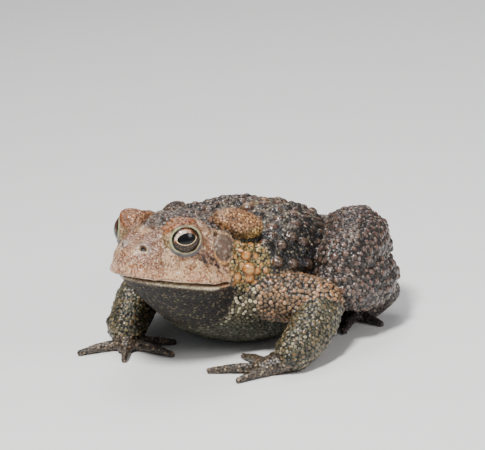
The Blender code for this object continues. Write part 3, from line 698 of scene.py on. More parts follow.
def nearest_of(places, points, count):
    """For each point the nearest places: their numbers and distances."""
    tree = KDTree(len(places))
    for i, place in enumerate(places):
        tree.insert(place, i)
    tree.balance()
    index = np.zeros((len(points), count), np.int32)
    gap = np.full((len(points), count), 9.0)
    for i, point in enumerate(points):
        for k, (_, number, distance) in enumerate(tree.find_n(point, count)):
            index[i, k] = number
            gap[i, k] = distance
    return index, gap


# Tubercles behind the mouth and warts of the crown: sideways, back, up, radius
TUBERCLES = (
    (15.6, 25.6, 5.2, 1.15),
    (14.4, 20.4, 2.1, 0.8),
    (16.5, 26.0, 2.2, 1.5),
    (16.2, 26.8, 0.0, 1.2),
    (14.9, 23.4, 0.0, 1.3),
    (15.4, 24.4, 3.0, 0.8),
    (14.8, 21.8, 1.2, 0.6),
    (16.4, 28.6, 1.6, 0.9),
    (15.6, 28.4, 5.0, 0.9),
    (14.8, 28.2, 8.0, 0.9),
    (15.9, 31.4, 8.8, 1.1),
    (15.2, 22.6, -1.6, 0.8),
    (12.9, 17.4, 11.4, 0.65),
)
CROWN_WARTS = (
    (2.1, 24.5, 13.6, 1.25),
    (5.5, 14.3, 12.4, 0.7),
    (7.6, 21.0, 12.8, 1.2),
    (2.6, 17.0, 12.8, 0.7),
)


# Warts of each region: least radius, how much larger the largest is, and how far apart they keep.
# Zeros keep a region bare.
WARTS = (
    ("torso", 0.9, 0.5, 1.4),
    ("flank", 0.6, 0.4, 1.4),
    ("shoulder", 1.15, 0.4, 1.35),
    ("nape", 0.36, 0.36, 1.12),
    ("leg", 0.58, 0.34, 1.2),
    ("arm", 0.38, 0.16, 1.35),
    ("chest", 0.0, 0.0, 1.0),
    ("snout", 0.0, 0.0, 1.0),
    ("crown", 0.4, 0.4, 1.3),
    ("lid_dome", 0.44, 0.2, 1.12),
)
WARTLESS = ("gland_skin", "ear", "lid", "socket", "brow", "lower_lip", "throat", "belly", "hand", "foot",
            "ear_rim")
WART_CANDIDATES = 24000
# In radii of the wart: least and largest height, the skirt at its foot and that skirt's height, how
# far the ring of painted shade round it fades out and how far it is looked for
WART_RISE = (0.55, 0.75)
WART_SKIRT = (0.94, 1.2)
SKIRT_HEIGHT = 0.34
RING_SHADE_FADE = 1.7
RING_SHADE_REACH = 1.9
# Radius from which a wart has a ring of painted shade round it, and from which the ring is whole, in
# millimetres
RINGED = (0.5, 0.8)
FULL_WART = 0.3


def wart_sizes(skin):
    """A size for each place, and how far apart the warts keep there."""
    m = skin.masks
    bare = np.clip(sum(m[name] for name in WARTLESS) + 0.5 * m["fold"], 0.0, 1.0)
    spacing = np.ones(len(skin.points))
    for region, _, _, apart in WARTS:
        spacing = np.where(m[region] > 0.5, apart, spacing)

    def size_at(corner, luck):
        size = np.zeros(len(corner))
        for region, least, more, _ in WARTS:
            size = np.where(m[region][corner] > 0.5, least + more * luck, size)
        return np.where(bare[corner] > 0.35, 0.0, size)

    return size_at, spacing


def wart_spots(skin, tree, seed):
    """Places and radii of the placed warts on both sides and of the drawn ones that keep clear of them."""
    placed = []
    for x, back, up, radius in TUBERCLES + CROWN_WARTS:
        for _, side in SIDES:
            placed.append((np.array(tree.find(head_place(x * side, back, up))[0]), radius))
    spots = list(placed)
    sizes, spacing = wart_sizes(skin)
    for place, radius in zip(*scatter(skin, WART_CANDIDATES, seed, sizes, spacing)):
        if all(np.linalg.norm(place - spot) > 1.02 * (radius + size) for spot, size in placed):
            spots.append((place, radius))
    return spots


def raise_warts(skin, height, seed):
    """Rounded warts on the back, flanks, legs, lids and behind the mouth, with painted shade round the
    large ones.
    """
    m = skin.masks
    tree = KDTree(len(skin.points))
    for i, point in enumerate(skin.points):
        tree.insert(point, i)
    tree.balance()
    draw = random.Random(seed)
    rise = np.zeros(len(skin.points))
    tone = np.full(len(skin.points), 0.5)
    ring_shade = np.zeros(len(skin.points))
    profile = np.zeros(len(skin.points))
    inner, outer = WART_SKIRT
    for place, radius in wart_spots(skin, tree, seed):
        colour = draw.random()
        tall = height * radius * draw.uniform(*WART_RISE)
        large = step(*RINGED, radius)
        for _, index, distance in tree.find_range(place, radius * RING_SHADE_REACH):
            share = distance / radius
            ring_shade[index] = max(ring_shade[index], large * (1.0 - share / RING_SHADE_FADE))
            if share > outer:
                continue
            dome = SKIRT_HEIGHT * (outer - share) / (outer - inner)
            if share < inner:
                dome = math.sqrt(max(0.0, 1.0 - share * share))
            if tall * dome > rise[index]:
                rise[index] = tall * dome
                tone[index] = colour
                profile[index] = dome
    rise = skin.ease(rise, 1)
    skin.lift(rise)
    m["wart"] = np.clip(rise / FULL_WART, 0.0, 1.0)
    m["wart_tone"] = tone
    # The warts' profile, which the material reads for a painted highlight on each top and painted shade at
    # each foot
    m["dome"] = skin.ease(profile, 1)
    # A ring of painted shade round each large wart
    m["ring_shade"] = step(0.0, 0.7, ring_shade) * (1.0 - m["wart"])
    skin.find_normals()


# Pebble radius in each region, and how far the pebbles stand out
PEBBLES = (
    ("torso", 0.34, 1.15),
    ("flank", 0.34, 1.15),
    ("belly", 0.42, 0.7),
    ("throat", 0.3, 0.9),
    ("chest", 0.38, 1.3),
    ("nape", 0.38, 1.25),
    ("arm", 0.42, 1.3),
    ("leg", 0.4, 1.2),
    ("hand", 0.3, 0.9),
    ("foot", 0.32, 0.8),
    ("snout", 0.28, 0.55),
    ("crown", 0.32, 1.0),
    ("gland", 0.29, 1.0),
    ("upper_lip", 0.26, 0.35),
    ("lower_lip", 0.26, 0.2),
    ("streak", 0.36, 1.3),
    ("lid_dome", 0.26, 0.5),
    ("brow", 0.26, 0.5),
)
PEBBLE_RADIUS = 0.36
PEBBLE_CANDIDATES = 170000
PEBBLE_SPACING = 0.92
WART_CALM = 0.7
# Wrinkles of the face: height and length in millimetres
WRINKLES = ((0.05, 1.1), (0.06, 2.4))


def lay_grain(skin, height, seed):
    """Fine pebbles, close together, that cover the skin between and over the warts."""
    m = skin.masks
    quiet = m["socket"] + m["ear"] + m["lid_edge"] + 0.8 * m["lid"] + m["mouth"] + m["nostril"]
    quiet = np.clip(quiet, 0.0, 1.0)
    wanted = np.full(len(skin.points), PEBBLE_RADIUS)
    strength = np.ones(len(skin.points))
    for region, radius, stand in PEBBLES:
        share = step(0.3, 0.7, m[region])
        wanted = wanted * (1.0 - share) + radius * share
        strength = strength * (1.0 - share) + stand * share

    def size_at(corner, luck):
        return np.where(quiet[corner] > 0.5, 0.0, wanted[corner] * (0.75 + 0.5 * luck))

    places, radii = scatter(skin, PEBBLE_CANDIDATES, seed, size_at, PEBBLE_SPACING)
    index, gap = nearest_of(places, skin.points, 2)
    tones = np.random.default_rng(seed + 1).random(len(places))
    radius = radii[index[:, 0]]
    border = np.minimum(0.5 * (gap[:, 0] + gap[:, 1]), radius * 1.5)
    pebble = np.sqrt(np.clip(1.0 - (gap[:, 0] / border) ** 2, 0.0, 1.0)) * (1.0 - quiet)
    strength *= 1.0 - WART_CALM * m["wart"]
    wrinkles = np.zeros(len(skin.points))
    for i, (tall, length) in enumerate(WRINKLES):
        wrinkles += tall * rolling(skin.points, length, seed + 2 + i)
    skin.lift(height * pebble * radius * strength + wrinkles * m["speckled"])
    m["grain"] = pebble
    m["grain_tone"] = tones[index[:, 0]]
    skin.find_normals()


def store(skin, names):
    for name in names:
        layer = skin.mesh.attributes.new(name, "FLOAT", "POINT")
        layer.data.foreach_set("value", np.clip(skin.masks[name], 0.0, 1.0).astype(np.float32))


# Each region's colours, as they look on a screen: between the pebbles (the skin's own dark colour,
# deepened with painted shade in the gaps), on most pebbles, on some pebbles and on the warts
PALETTE = (
    ("torso", (13, 11, 10), (48, 40, 35), (130, 114, 94), (94, 64, 48)),
    ("stripe", (84, 64, 40), (146, 118, 80), (176, 150, 106), (130, 80, 48)),
    ("top", (44, 36, 31), (112, 98, 82), (164, 146, 118), (108, 76, 58)),
    ("flank", (7, 6, 5), (26, 21, 18), (94, 82, 64), (78, 54, 42)),
    ("leg", (14, 12, 11), (66, 56, 50), (124, 108, 98), (98, 70, 56)),
    ("arm", (9, 7, 6), (134, 108, 80), (178, 130, 84), (156, 104, 66)),
    ("olive", (11, 10, 6), (82, 77, 54), (126, 114, 80), (112, 86, 56)),
    ("chest", (5, 4, 4), (112, 100, 72), (214, 202, 166), (150, 96, 56)),
    # Belly: its own dull colour, darkened with painted shade beneath the body
    ("belly", (34, 34, 26), (74, 74, 58), (98, 98, 80), (74, 74, 58)),
    ("hand", (30, 26, 21), (98, 84, 70), (134, 112, 88), (108, 84, 64)),
    ("foot", (34, 28, 26), (86, 74, 68), (110, 96, 88), (92, 74, 66)),
    # Throat: its own dark colour, darkened further with painted shade beneath the jaw
    ("throat", (10, 8, 6), (34, 27, 20), (92, 80, 58), (50, 40, 28)),
    ("snout", (98, 64, 42), (158, 114, 78), (136, 88, 56), (134, 88, 58)),
    ("cheek", (140, 94, 58), (192, 146, 100), (204, 160, 112), (176, 124, 82)),
    ("tip", (132, 80, 46), (190, 132, 84), (206, 172, 138), (182, 120, 74)),
    ("canthus", (116, 82, 76), (162, 126, 120), (176, 142, 136), (146, 108, 100)),
    ("crown", (26, 21, 20), (100, 86, 77), (152, 136, 120), (90, 60, 46)),
    ("crest", (86, 58, 42), (142, 106, 82), (164, 130, 104), (136, 90, 60)),
    ("lid_dome", (78, 48, 32), (160, 108, 74), (190, 144, 104), (162, 104, 64)),
    ("brow", (96, 52, 30), (160, 98, 60), (186, 124, 80), (160, 98, 60)),
    ("streak", (26, 16, 13), (70, 46, 36), (124, 84, 60), (84, 52, 38)),
    ("nape", (26, 21, 9), (146, 126, 76), (196, 172, 108), (192, 124, 62)),
    ("gland_skin", (78, 50, 30), (170, 120, 76), (198, 152, 104), (168, 112, 66)),
    ("gland_low", (84, 62, 20), (176, 138, 66), (200, 168, 92), (172, 130, 58)),
    # Painted shade in the groove round each gland and in the slit
    ("gland_groove", (8, 6, 5), (16, 12, 9), (30, 22, 16), (18, 13, 9)),
    ("ear", (92, 74, 62), (120, 100, 84), (146, 126, 108), (118, 98, 82)),
    ("ear_rim", (128, 98, 72), (158, 124, 94), (176, 142, 110), (154, 120, 90)),
    ("ear_gold", (190, 130, 62), (216, 156, 84), (226, 172, 104), (214, 150, 78)),
    ("upper_lip", (176, 120, 80), (218, 166, 122), (234, 194, 154), (210, 156, 112)),
    ("lip_edge", (206, 174, 142), (232, 204, 174), (240, 218, 190), (228, 200, 168)),
    ("lower_lip", (178, 158, 122), (226, 212, 178), (238, 228, 200), (222, 206, 170)),
    ("lid_corner", (106, 90, 56), (150, 130, 88), (166, 146, 102), (150, 126, 82)),
    ("lid", (104, 100, 104), (140, 134, 138), (154, 148, 150), (140, 134, 136)),
    ("lid_edge", (182, 186, 134), (200, 204, 156), (212, 214, 170), (200, 204, 156)),
    ("nostril_rim", (130, 118, 112), (162, 150, 142), (172, 160, 152), (160, 146, 138)),
    # Painted shade: the inside of each nostril, black
    ("nostril", (2, 2, 2), (2, 2, 2), (2, 2, 2), (2, 2, 2)),
    # Painted shade in the groove of the mouth
    ("mouth", (26, 16, 12), (34, 22, 16), (40, 28, 20), (34, 22, 16)),
    # Painted shade: the skin sunk inside each lid's opening, near black
    ("socket", (6, 5, 4), (6, 5, 4), (6, 5, 4), (6, 5, 4)),
)
LAYERS = ("Ground", "Pebble", "Bright", "Wart")
# What else the skin's material reads at each point
SHAPE_MASKS = ("grain", "grain_tone", "wart", "wart_tone", "ring_shade", "dome", "speckled", "under")


def link(tree, source, target):
    tree.links.new(source, target)


def mixed(tree, factor, first, second, kind="MIX"):
    """A colour mix whose inputs are sockets or values."""
    node = tree.nodes.new("ShaderNodeMix")
    node.data_type = "RGBA"
    node.blend_type = kind
    node.clamp_factor = True
    for socket, value in ((node.inputs[0], factor), (node.inputs[6], first), (node.inputs[7], second)):
        if isinstance(value, bpy.types.NodeSocket):
            link(tree, value, socket)
        elif isinstance(value, tuple):
            socket.default_value = (*value, 1.0)
        else:
            socket.default_value = value
    return node.outputs[2]


def sums(tree, operation, first, second, clamp=False):
    node = tree.nodes.new("ShaderNodeMath")
    node.operation = operation
    node.use_clamp = clamp
    for socket, value in zip(node.inputs, (first, second)):
        if isinstance(value, bpy.types.NodeSocket):
            link(tree, value, socket)
        else:
            socket.default_value = value
    return node.outputs[0]


def times(tree, first, second):
    return sums(tree, "MULTIPLY", first, second)


def ramp(tree, source, low, high):
    """A value eased from 0 at low to 1 at high."""
    node = tree.nodes.new("ShaderNodeMapRange")
    node.interpolation_type = "SMOOTHSTEP"
    node.inputs["From Min"].default_value = low
    node.inputs["From Max"].default_value = high
    link(tree, source, node.inputs["Value"])
    return node.outputs["Result"]


def reading(tree, name):
    node = tree.nodes.new("ShaderNodeAttribute")
    node.attribute_name = name
    return node.outputs["Fac"]


def noise(tree, place, scale, detail, roughness):
    node = tree.nodes.new("ShaderNodeTexNoise")
    node.inputs["Scale"].default_value = scale
    node.inputs["Detail"].default_value = detail
    node.inputs["Roughness"].default_value = roughness
    link(tree, place, node.inputs["Vector"])
    return node.outputs["Fac"]


def region_group():
    """Lays one region's four colours over those before it."""
    group = bpy.data.node_groups.new("toad_region", "ShaderNodeTree")
    for name in LAYERS:
        group.interface.new_socket(name=name, in_out="INPUT", socket_type="NodeSocketColor")
        group.interface.new_socket(name="Region " + name, in_out="INPUT", socket_type="NodeSocketColor")
        group.interface.new_socket(name=name, in_out="OUTPUT", socket_type="NodeSocketColor")
    group.interface.new_socket(name="Mask", in_out="INPUT", socket_type="NodeSocketFloat")
    inside = group.nodes.new("NodeGroupInput")
    outside = group.nodes.new("NodeGroupOutput")
    for name in LAYERS:
        before, region = inside.outputs[name], inside.outputs["Region " + name]
        colour = mixed(group, inside.outputs["Mask"], before, region)
        link(group, colour, outside.inputs[name])
    return group


def region_colours(tree):
    """Each layer's colour where every region has laid its own over those before it."""
    group = region_group()
    layers = {}
    for name, *colours in PALETTE:
        node = tree.nodes.new("ShaderNodeGroup")
        node.node_tree = group
        for layer, colour in zip(LAYERS, colours):
            colour = (*shade(*colour), 1.0)
            node.inputs["Region " + layer].default_value = colour
            if layer in layers:
                link(tree, layers[layer], node.inputs[layer])
            else:
                node.inputs[layer].default_value = colour
            layers[layer] = node.outputs[layer]
        link(tree, reading(tree, name), node.inputs["Mask"])
    return layers


def part_of(tree, source, low, high, share):
    """An eased value between low and high, times a share."""
    return times(tree, ramp(tree, source, low, high), share)


def fields(tree, place, table):
    """The noises of a table, by name."""
    return {name: noise(tree, place, *values) for name, values in table.items()}


# Noises of the skin: scale, detail and roughness
SKIN_NOISES = {
    "patches": (130.0, 2.0, 0.55),
    "tans": (250.0, 3.0, 0.6),
    "mottle": (480.0, 4.0, 0.55),
    "stain": (620.0, 4.0, 0.7),
    "blotch": (900.0, 3.0, 0.6),
    "speckle": (1900.0, 3.0, 0.7),
    "dust_and_glint": (3600.0, 2.0, 0.7),
}
# Where each part of the colour starts and is full, and its share where it isn't whole
DULL_TONES = (0.0, 0.7)
BRIGHT_TONES = (0.66, 0.86)
PALE_TONES = (0.88, 0.95, 0.2)
BRIGHT_PATCHES = (0.56, 0.7, 0.4)
DARK_PATCHES = (0.46, 0.32, 0.45)
PEBBLE_EDGE = (0.25, 0.8)
RING_SHADE_SHARE = 0.7
WART_TONES = (0.3, 1.0, 0.45)
# A painted highlight on the top of each wart and painted shade at its foot, by the height of its dome
WART_PAINTED_HIGHLIGHT = (0.72, 1.0, 0.4)
WART_PAINTED_FOOT_SHADE = (0.75, 0.3, 0.75)
WART_EDGE = (0.25, 0.95, 0.92)
MOTTLE = (0.54, 0.7)
MOTTLE_SHARE = 0.55
MOTTLE_LESS_ON_FACE = 0.35
DUST = (0.4, 0.3, 0.5)
PALE_PEBBLE = shade(222, 208, 178)
RING_SHADE_COLOUR = shade(24, 19, 19)
WART_FOOT_SHADE_COLOUR = shade(120, 92, 74)
MOTTLE_SHADE = shade(70, 56, 50)
DUST_SHADE = shade(60, 44, 36)
# Marks in the order they are laid: the noise, where in it they start and are full, their share, the
# region they lie on and their colour
MARKS = (
    ("tans", 0.5, 0.6, 0.7, "speckled", (206, 168, 128)),
    ("tans", 0.47, 0.37, 0.65, "speckled", (134, 92, 68)),
    ("blotch", 0.55, 0.63, 0.65, "speckled", (108, 68, 46)),
    ("speckle", 0.56, 0.61, 0.9, "speckled", (74, 44, 32)),
    ("speckle", 0.43, 0.36, 0.8, "speckled", (232, 208, 180)),
    ("stain", 0.5, 0.6, 0.65, "ear", (84, 62, 48)),
    ("stain", 0.46, 0.38, 0.6, "ear", (190, 172, 154)),
    # Near-white flecks as painted glints, thickest on the snout's tip
    ("dust_and_glint", 0.6, 0.66, 0.9, "tip", (244, 238, 230)),
    ("dust_and_glint", 0.66, 0.7, 0.6, "speckled", (246, 236, 224)),
)


def skin_colour(tree, noises):
    """Dark skin, deepened with painted shade in the gaps, under pebbles of mixed tones, warts with painted
    shade at their foot and a painted highlight on top, a ring of painted shade round the large ones, then
    the marks, with near-white flecks that are painted glints.
    """
    layers = region_colours(tree)
    tone, face, dome = (reading(tree, name) for name in ("grain_tone", "speckled", "dome"))
    dull = mixed(tree, 0.5, layers["Pebble"], layers["Ground"])
    top = mixed(tree, ramp(tree, tone, *DULL_TONES), dull, layers["Pebble"])
    top = mixed(tree, ramp(tree, tone, *BRIGHT_TONES), top, layers["Bright"])
    body = sums(tree, "SUBTRACT", 1.0, reading(tree, "snout"), True)
    upper = sums(tree, "SUBTRACT", body, reading(tree, "under"), True)
    top = mixed(tree, times(tree, part_of(tree, tone, *PALE_TONES), upper), top, PALE_PEBBLE)
    top = mixed(tree, part_of(tree, noises["patches"], *BRIGHT_PATCHES), top, layers["Bright"])
    # Between the pebbles: the skin's own dark colour, deepened with painted shade in the gaps
    colour = mixed(tree, ramp(tree, reading(tree, "grain"), *PEBBLE_EDGE), layers["Ground"], top)
    colour = mixed(tree, part_of(tree, noises["patches"], *DARK_PATCHES), colour, layers["Ground"])
    # Painted shade in a ring round the large warts
    colour = mixed(tree, times(tree, reading(tree, "ring_shade"), RING_SHADE_SHARE), colour, RING_SHADE_COLOUR)
    lump = part_of(tree, reading(tree, "wart_tone"), *WART_TONES)
    lump = mixed(tree, lump, layers["Wart"], layers["Pebble"])
    # Painted highlight on the wart's top, then painted shade at its foot
    lump = mixed(tree, part_of(tree, dome, *WART_PAINTED_HIGHLIGHT), lump, layers["Bright"])
    lump = mixed(tree, part_of(tree, dome, *WART_PAINTED_FOOT_SHADE), lump, WART_FOOT_SHADE_COLOUR, "MULTIPLY")
    colour = mixed(tree, part_of(tree, reading(tree, "wart"), *WART_EDGE), colour, lump)
    dark = sums(tree, "SUBTRACT", MOTTLE_SHARE, times(tree, face, MOTTLE_LESS_ON_FACE))
    dark = times(tree, ramp(tree, noises["mottle"], *MOTTLE), dark)
    colour = mixed(tree, dark, colour, MOTTLE_SHADE, "MULTIPLY")
    for name, low, high, share, region, mark in MARKS:
        where = times(tree, part_of(tree, noises[name], low, high, share), reading(tree, region))
        colour = mixed(tree, where, colour, shade(*mark))
    return mixed(tree, part_of(tree, noises["dust_and_glint"], *DUST), colour, DUST_SHADE, "MULTIPLY")


# What each adds to the skin's roughness
SPECKLE_ROUGH = 0.14
WART_ROUGH = -0.16
PEBBLE_ROUGH = -0.12
UNDER_ROUGH = 0.35
# What each adds to the skin's wet coat, and how much of it the underside lacks
WART_WET = 0.4
PEBBLE_WET = 0.25
UNDER_DRY = 0.75
SKIN_SPECULAR = 0.42
SKIN_COAT_ROUGHNESS = 0.14
SKIN_GLOW = 0.05
SKIN_GLOW_RADIUS = (1.0, 0.5, 0.3)
SKIN_GLOW_DEPTH = 0.0005
FINE_CELLS = 3300.0
FINE_STRENGTH = 0.4
FINE_HEIGHT = 0.00012


def skin_material(settings):
    """Pebbled skin with a wet coat on warts and pebbles, drier below, and fine cells in its relief."""
    material = bpy.data.materials.new("toad_skin")
    material.use_nodes = True
    tree = material.node_tree
    shader = tree.nodes["Principled BSDF"]
    place = tree.nodes.new("ShaderNodeTexCoord").outputs["Object"]
    noises = fields(tree, place, SKIN_NOISES)
    link(tree, skin_colour(tree, noises), shader.inputs["Base Color"])
    pebble, wart, under = (reading(tree, name) for name in ("grain", "wart", "under"))
    rough = sums(tree, "ADD", times(tree, noises["speckle"], SPECKLE_ROUGH), settings.roughness)
    gloss = sums(tree, "ADD", times(tree, wart, WART_ROUGH), times(tree, pebble, PEBBLE_ROUGH))
    gloss = sums(tree, "ADD", gloss, times(tree, under, UNDER_ROUGH))
    link(tree, sums(tree, "ADD", rough, gloss, True), shader.inputs["Roughness"])
    wet = sums(tree, "ADD", times(tree, wart, WART_WET), times(tree, pebble, PEBBLE_WET), True)
    dry = sums(tree, "SUBTRACT", 1.0, times(tree, under, UNDER_DRY))
    link(tree, times(tree, wet, dry), shader.inputs["Coat Weight"])
    shader.inputs["Coat Roughness"].default_value = SKIN_COAT_ROUGHNESS
    shader.inputs["Specular IOR Level"].default_value = SKIN_SPECULAR
    shader.inputs["Subsurface Weight"].default_value = SKIN_GLOW
    shader.inputs["Subsurface Radius"].default_value = SKIN_GLOW_RADIUS
    shader.inputs["Subsurface Scale"].default_value = SKIN_GLOW_DEPTH
    cells = tree.nodes.new("ShaderNodeTexVoronoi")
    cells.inputs["Scale"].default_value = FINE_CELLS
    link(tree, place, cells.inputs["Vector"])
    fine = sums(tree, "SUBTRACT", 1.0, cells.outputs["Distance"])
    relief = tree.nodes.new("ShaderNodeBump")
    relief.inputs["Strength"].default_value = FINE_STRENGTH
    relief.inputs["Distance"].default_value = FINE_HEIGHT
    link(tree, sums(tree, "ADD", fine, noises["speckle"]), relief.inputs["Height"])
    link(tree, relief.outputs["Normal"], shader.inputs["Normal"])
    return material


# Noises of the iris: scale, detail and roughness
EYE_NOISES = {"streak": (1700.0, 4.0, 0.75), "fleck": (4200.0, 2.0, 0.8)}
COPPER_DARK = shade(96, 54, 30)
IRIS_DARK = shade(30, 19, 11)
IRIS_FLECK = shade(156, 116, 68)
IRIS_REAR_PAINTED_SHADE = shade(22, 13, 8)
IRIS_PAINTED_REFLECTION = shade(246, 226, 200)
PUPIL_BLACK = shade(1, 1, 2)
# Painted shade over the far eye's iris
UNLIT_SHADE = shade(7, 5, 4)
LIMBUS_SHADE = shade(4, 3, 2)
# The power that rounds the pupil's oval, and where in the oval its rings and its dark edge lie
OVAL_POWER = 1.8
LOWER_RING = (1.34, 1.27)
THIN_RING = (1.26, 1.2, 0.12)
PUPIL_EDGE = (1.16, 1.08)
LIMBUS = (0.52, 0.7)
UNLIT_SHARE = 0.85
EYE_ROUGHNESS = 0.35
EYE_SPECULAR = 0.2
EYE_COAT = 0.5
EYE_COAT_ROUGHNESS = 0.02


def eye_material(settings):
    """A level dark pupil in a thin gold ring, a bright iris above it with a painted reflection on its front
    and painted shade on its rear, a dark flecked one below, and painted shade over the far eye's iris.
    """
    material = bpy.data.materials.new("toad_eye")
    material.use_nodes = True
    tree = material.node_tree
    shader = tree.nodes["Principled BSDF"]
    across, up, lit = (reading(tree, name) for name in ("gaze_across", "gaze_up", "lit"))
    place = tree.nodes.new("ShaderNodeTexCoord").outputs["Object"]
    noises = fields(tree, place, EYE_NOISES)
    streak = noises["streak"]

    def oval(half_width, half_height, lift=0.0):
        wide = sums(tree, "DIVIDE", across, half_width)
        tall = sums(tree, "DIVIDE", sums(tree, "SUBTRACT", up, lift), half_height)
        powers = [sums(tree, "POWER", sums(tree, "ABSOLUTE", way, 0.0), OVAL_POWER) for way in (wide, tall)]
        return sums(tree, "ADD", *powers)

    gold = tuple(settings.iris_gold)
    copper = mixed(tree, ramp(tree, streak, 0.42, 0.62), tuple(settings.iris_copper), COPPER_DARK)
    dark = mixed(tree, ramp(tree, noises["fleck"], 0.56, 0.68), IRIS_DARK, IRIS_FLECK)
    colour = mixed(tree, ramp(tree, up, -0.12, 0.1), dark, copper)
    # Painted shade over the rear of the upper iris
    rear = times(tree, ramp(tree, across, 0.12, 0.5), part_of(tree, up, -0.3, 0.1, 0.85))
    colour = mixed(tree, rear, colour, IRIS_REAR_PAINTED_SHADE)
    pupil = oval(PUPIL_HALF[0], PUPIL_HALF[1], PUPIL_LIFT)
    # A painted reflection of the light on the upper iris, in front of the pupil, on the near eye only
    above = ramp(tree, up, PUPIL_LIFT - 0.06, PUPIL_LIFT + 0.12)
    front = times(tree, ramp(tree, across, 0.42, 0.0), lit)
    iris_reflection = times(tree, times(tree, ramp(tree, pupil, 3.0, 1.5), above), front)
    iris_reflection = times(tree, iris_reflection, ramp(tree, streak, 0.62, 0.48))
    colour = mixed(tree, iris_reflection, colour, IRIS_PAINTED_REFLECTION)
    below = ramp(tree, up, PUPIL_LIFT + 0.12, PUPIL_LIFT - 0.04)
    colour = mixed(tree, times(tree, ramp(tree, pupil, *LOWER_RING), below), colour, gold)
    colour = mixed(tree, part_of(tree, pupil, *THIN_RING), colour, gold)
    colour = mixed(tree, ramp(tree, pupil, *PUPIL_EDGE), colour, PUPIL_BLACK)
    # Painted shade over the far eye's iris
    unlit = times(tree, sums(tree, "SUBTRACT", 1.0, lit), UNLIT_SHARE)
    colour = mixed(tree, unlit, colour, UNLIT_SHADE)
    rim = oval(LID_OPENING[0] / EYE_RADIUS, LID_OPENING[1] / EYE_RADIUS)
    colour = mixed(tree, ramp(tree, rim, *LIMBUS), colour, LIMBUS_SHADE)
    link(tree, colour, shader.inputs["Base Color"])
    shader.inputs["Roughness"].default_value = EYE_ROUGHNESS
    shader.inputs["Specular IOR Level"].default_value = EYE_SPECULAR
    shader.inputs["Coat Weight"].default_value = EYE_COAT
    shader.inputs["Coat Roughness"].default_value = EYE_COAT_ROUGHNESS
    return material


def plain_material(name, colour, roughness):
    material = bpy.data.materials.new(name)
    material.use_nodes = True
    shader = material.node_tree.nodes["Principled BSDF"]
    shader.inputs["Base Color"].default_value = (*colour, 1.0)
    shader.inputs["Roughness"].default_value = roughness
    return material


class ToadSkinSettings(bpy.types.PropertyGroup):
    voxel: FloatProperty(
        name="Skin cell", default=0.37, min=0.2,
        description="Size of the first skin's cells, in millimetres")
    calm: IntProperty(
        name="Calm", default=200, min=0,
        description="Rounds of smoothing before the skin is sculpted")
    wart_height: FloatProperty(
        name="Wart height", default=1.0, min=0.0,
        description="Height of a wart for each unit of its radius")
    grain_height: FloatProperty(
        name="Grain height", default=0.55, min=0.0,
        description="Height of a pebble for each unit of its radius")
    roughness: FloatProperty(
        name="Roughness", default=0.36, subtype="FACTOR",
        description="Roughness of the skin between the warts")
    seed: IntProperty(
        name="Seed", default=7,
        description="Seed of the warts and pebbles")


class ToadEyeSettings(bpy.types.PropertyGroup):
    iris_copper: FloatVectorProperty(
        name="Copper", default=shade(176, 98, 56), subtype="COLOR",
        description="Main colour of the upper iris")
    iris_gold: FloatVectorProperty(
        name="Gold", default=shade(238, 206, 150), subtype="COLOR",
        description="Rings round the pupil")


class ToadStageSettings(bpy.types.PropertyGroup):
    floor_colour: FloatVectorProperty(
        name="Floor", default=(0.9, 0.89, 0.87), subtype="COLOR",
        description="Colour of the plain floor")
    camera_distance: FloatProperty(
        name="Camera distance", default=0.65, unit="LENGTH",
        description="From the camera to the toad's middle")
    azimuth: FloatProperty(
        name="Azimuth", default=math.radians(42.0), subtype="ANGLE",
        description="How far round the camera stands")
    elevation: FloatProperty(
        name="Elevation", default=math.radians(18.0), subtype="ANGLE",
        description="How far up the camera stands")
    roll: FloatProperty(
        name="Roll", default=math.radians(5.0), subtype="ANGLE",
        description="How far the camera leans")


class TOAD_OT_skin(bpy.types.Operator):
    """Fuse the flesh into one skin and sculpt its head, warts and grain"""
    bl_idname = "toad.skin"
    bl_label = "Make the skin"

    def execute(self, context):
        settings = context.scene.toad_skin
        obj, skin = closed_skin(settings.voxel, settings.calm)
        lower_back(skin)
        shape_head(skin)
        map_regions(skin)
        raise_warts(skin, settings.wart_height, settings.seed)
        lay_grain(skin, settings.grain_height, settings.seed)
        skin.points[:, 2] = np.maximum(skin.points[:, 2], 0.0)
        store(skin, [row[0] for row in PALETTE] + list(SHAPE_MASKS))
        skin.points = to_frame(skin.points)
        skin.find_normals()
        obj.data.shade_smooth()
        obj.data.materials.clear()
        obj.data.materials.append(skin_material(settings))
        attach(obj, "root")
        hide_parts(*[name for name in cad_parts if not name.startswith("eye_")])
        return {"FINISHED"}


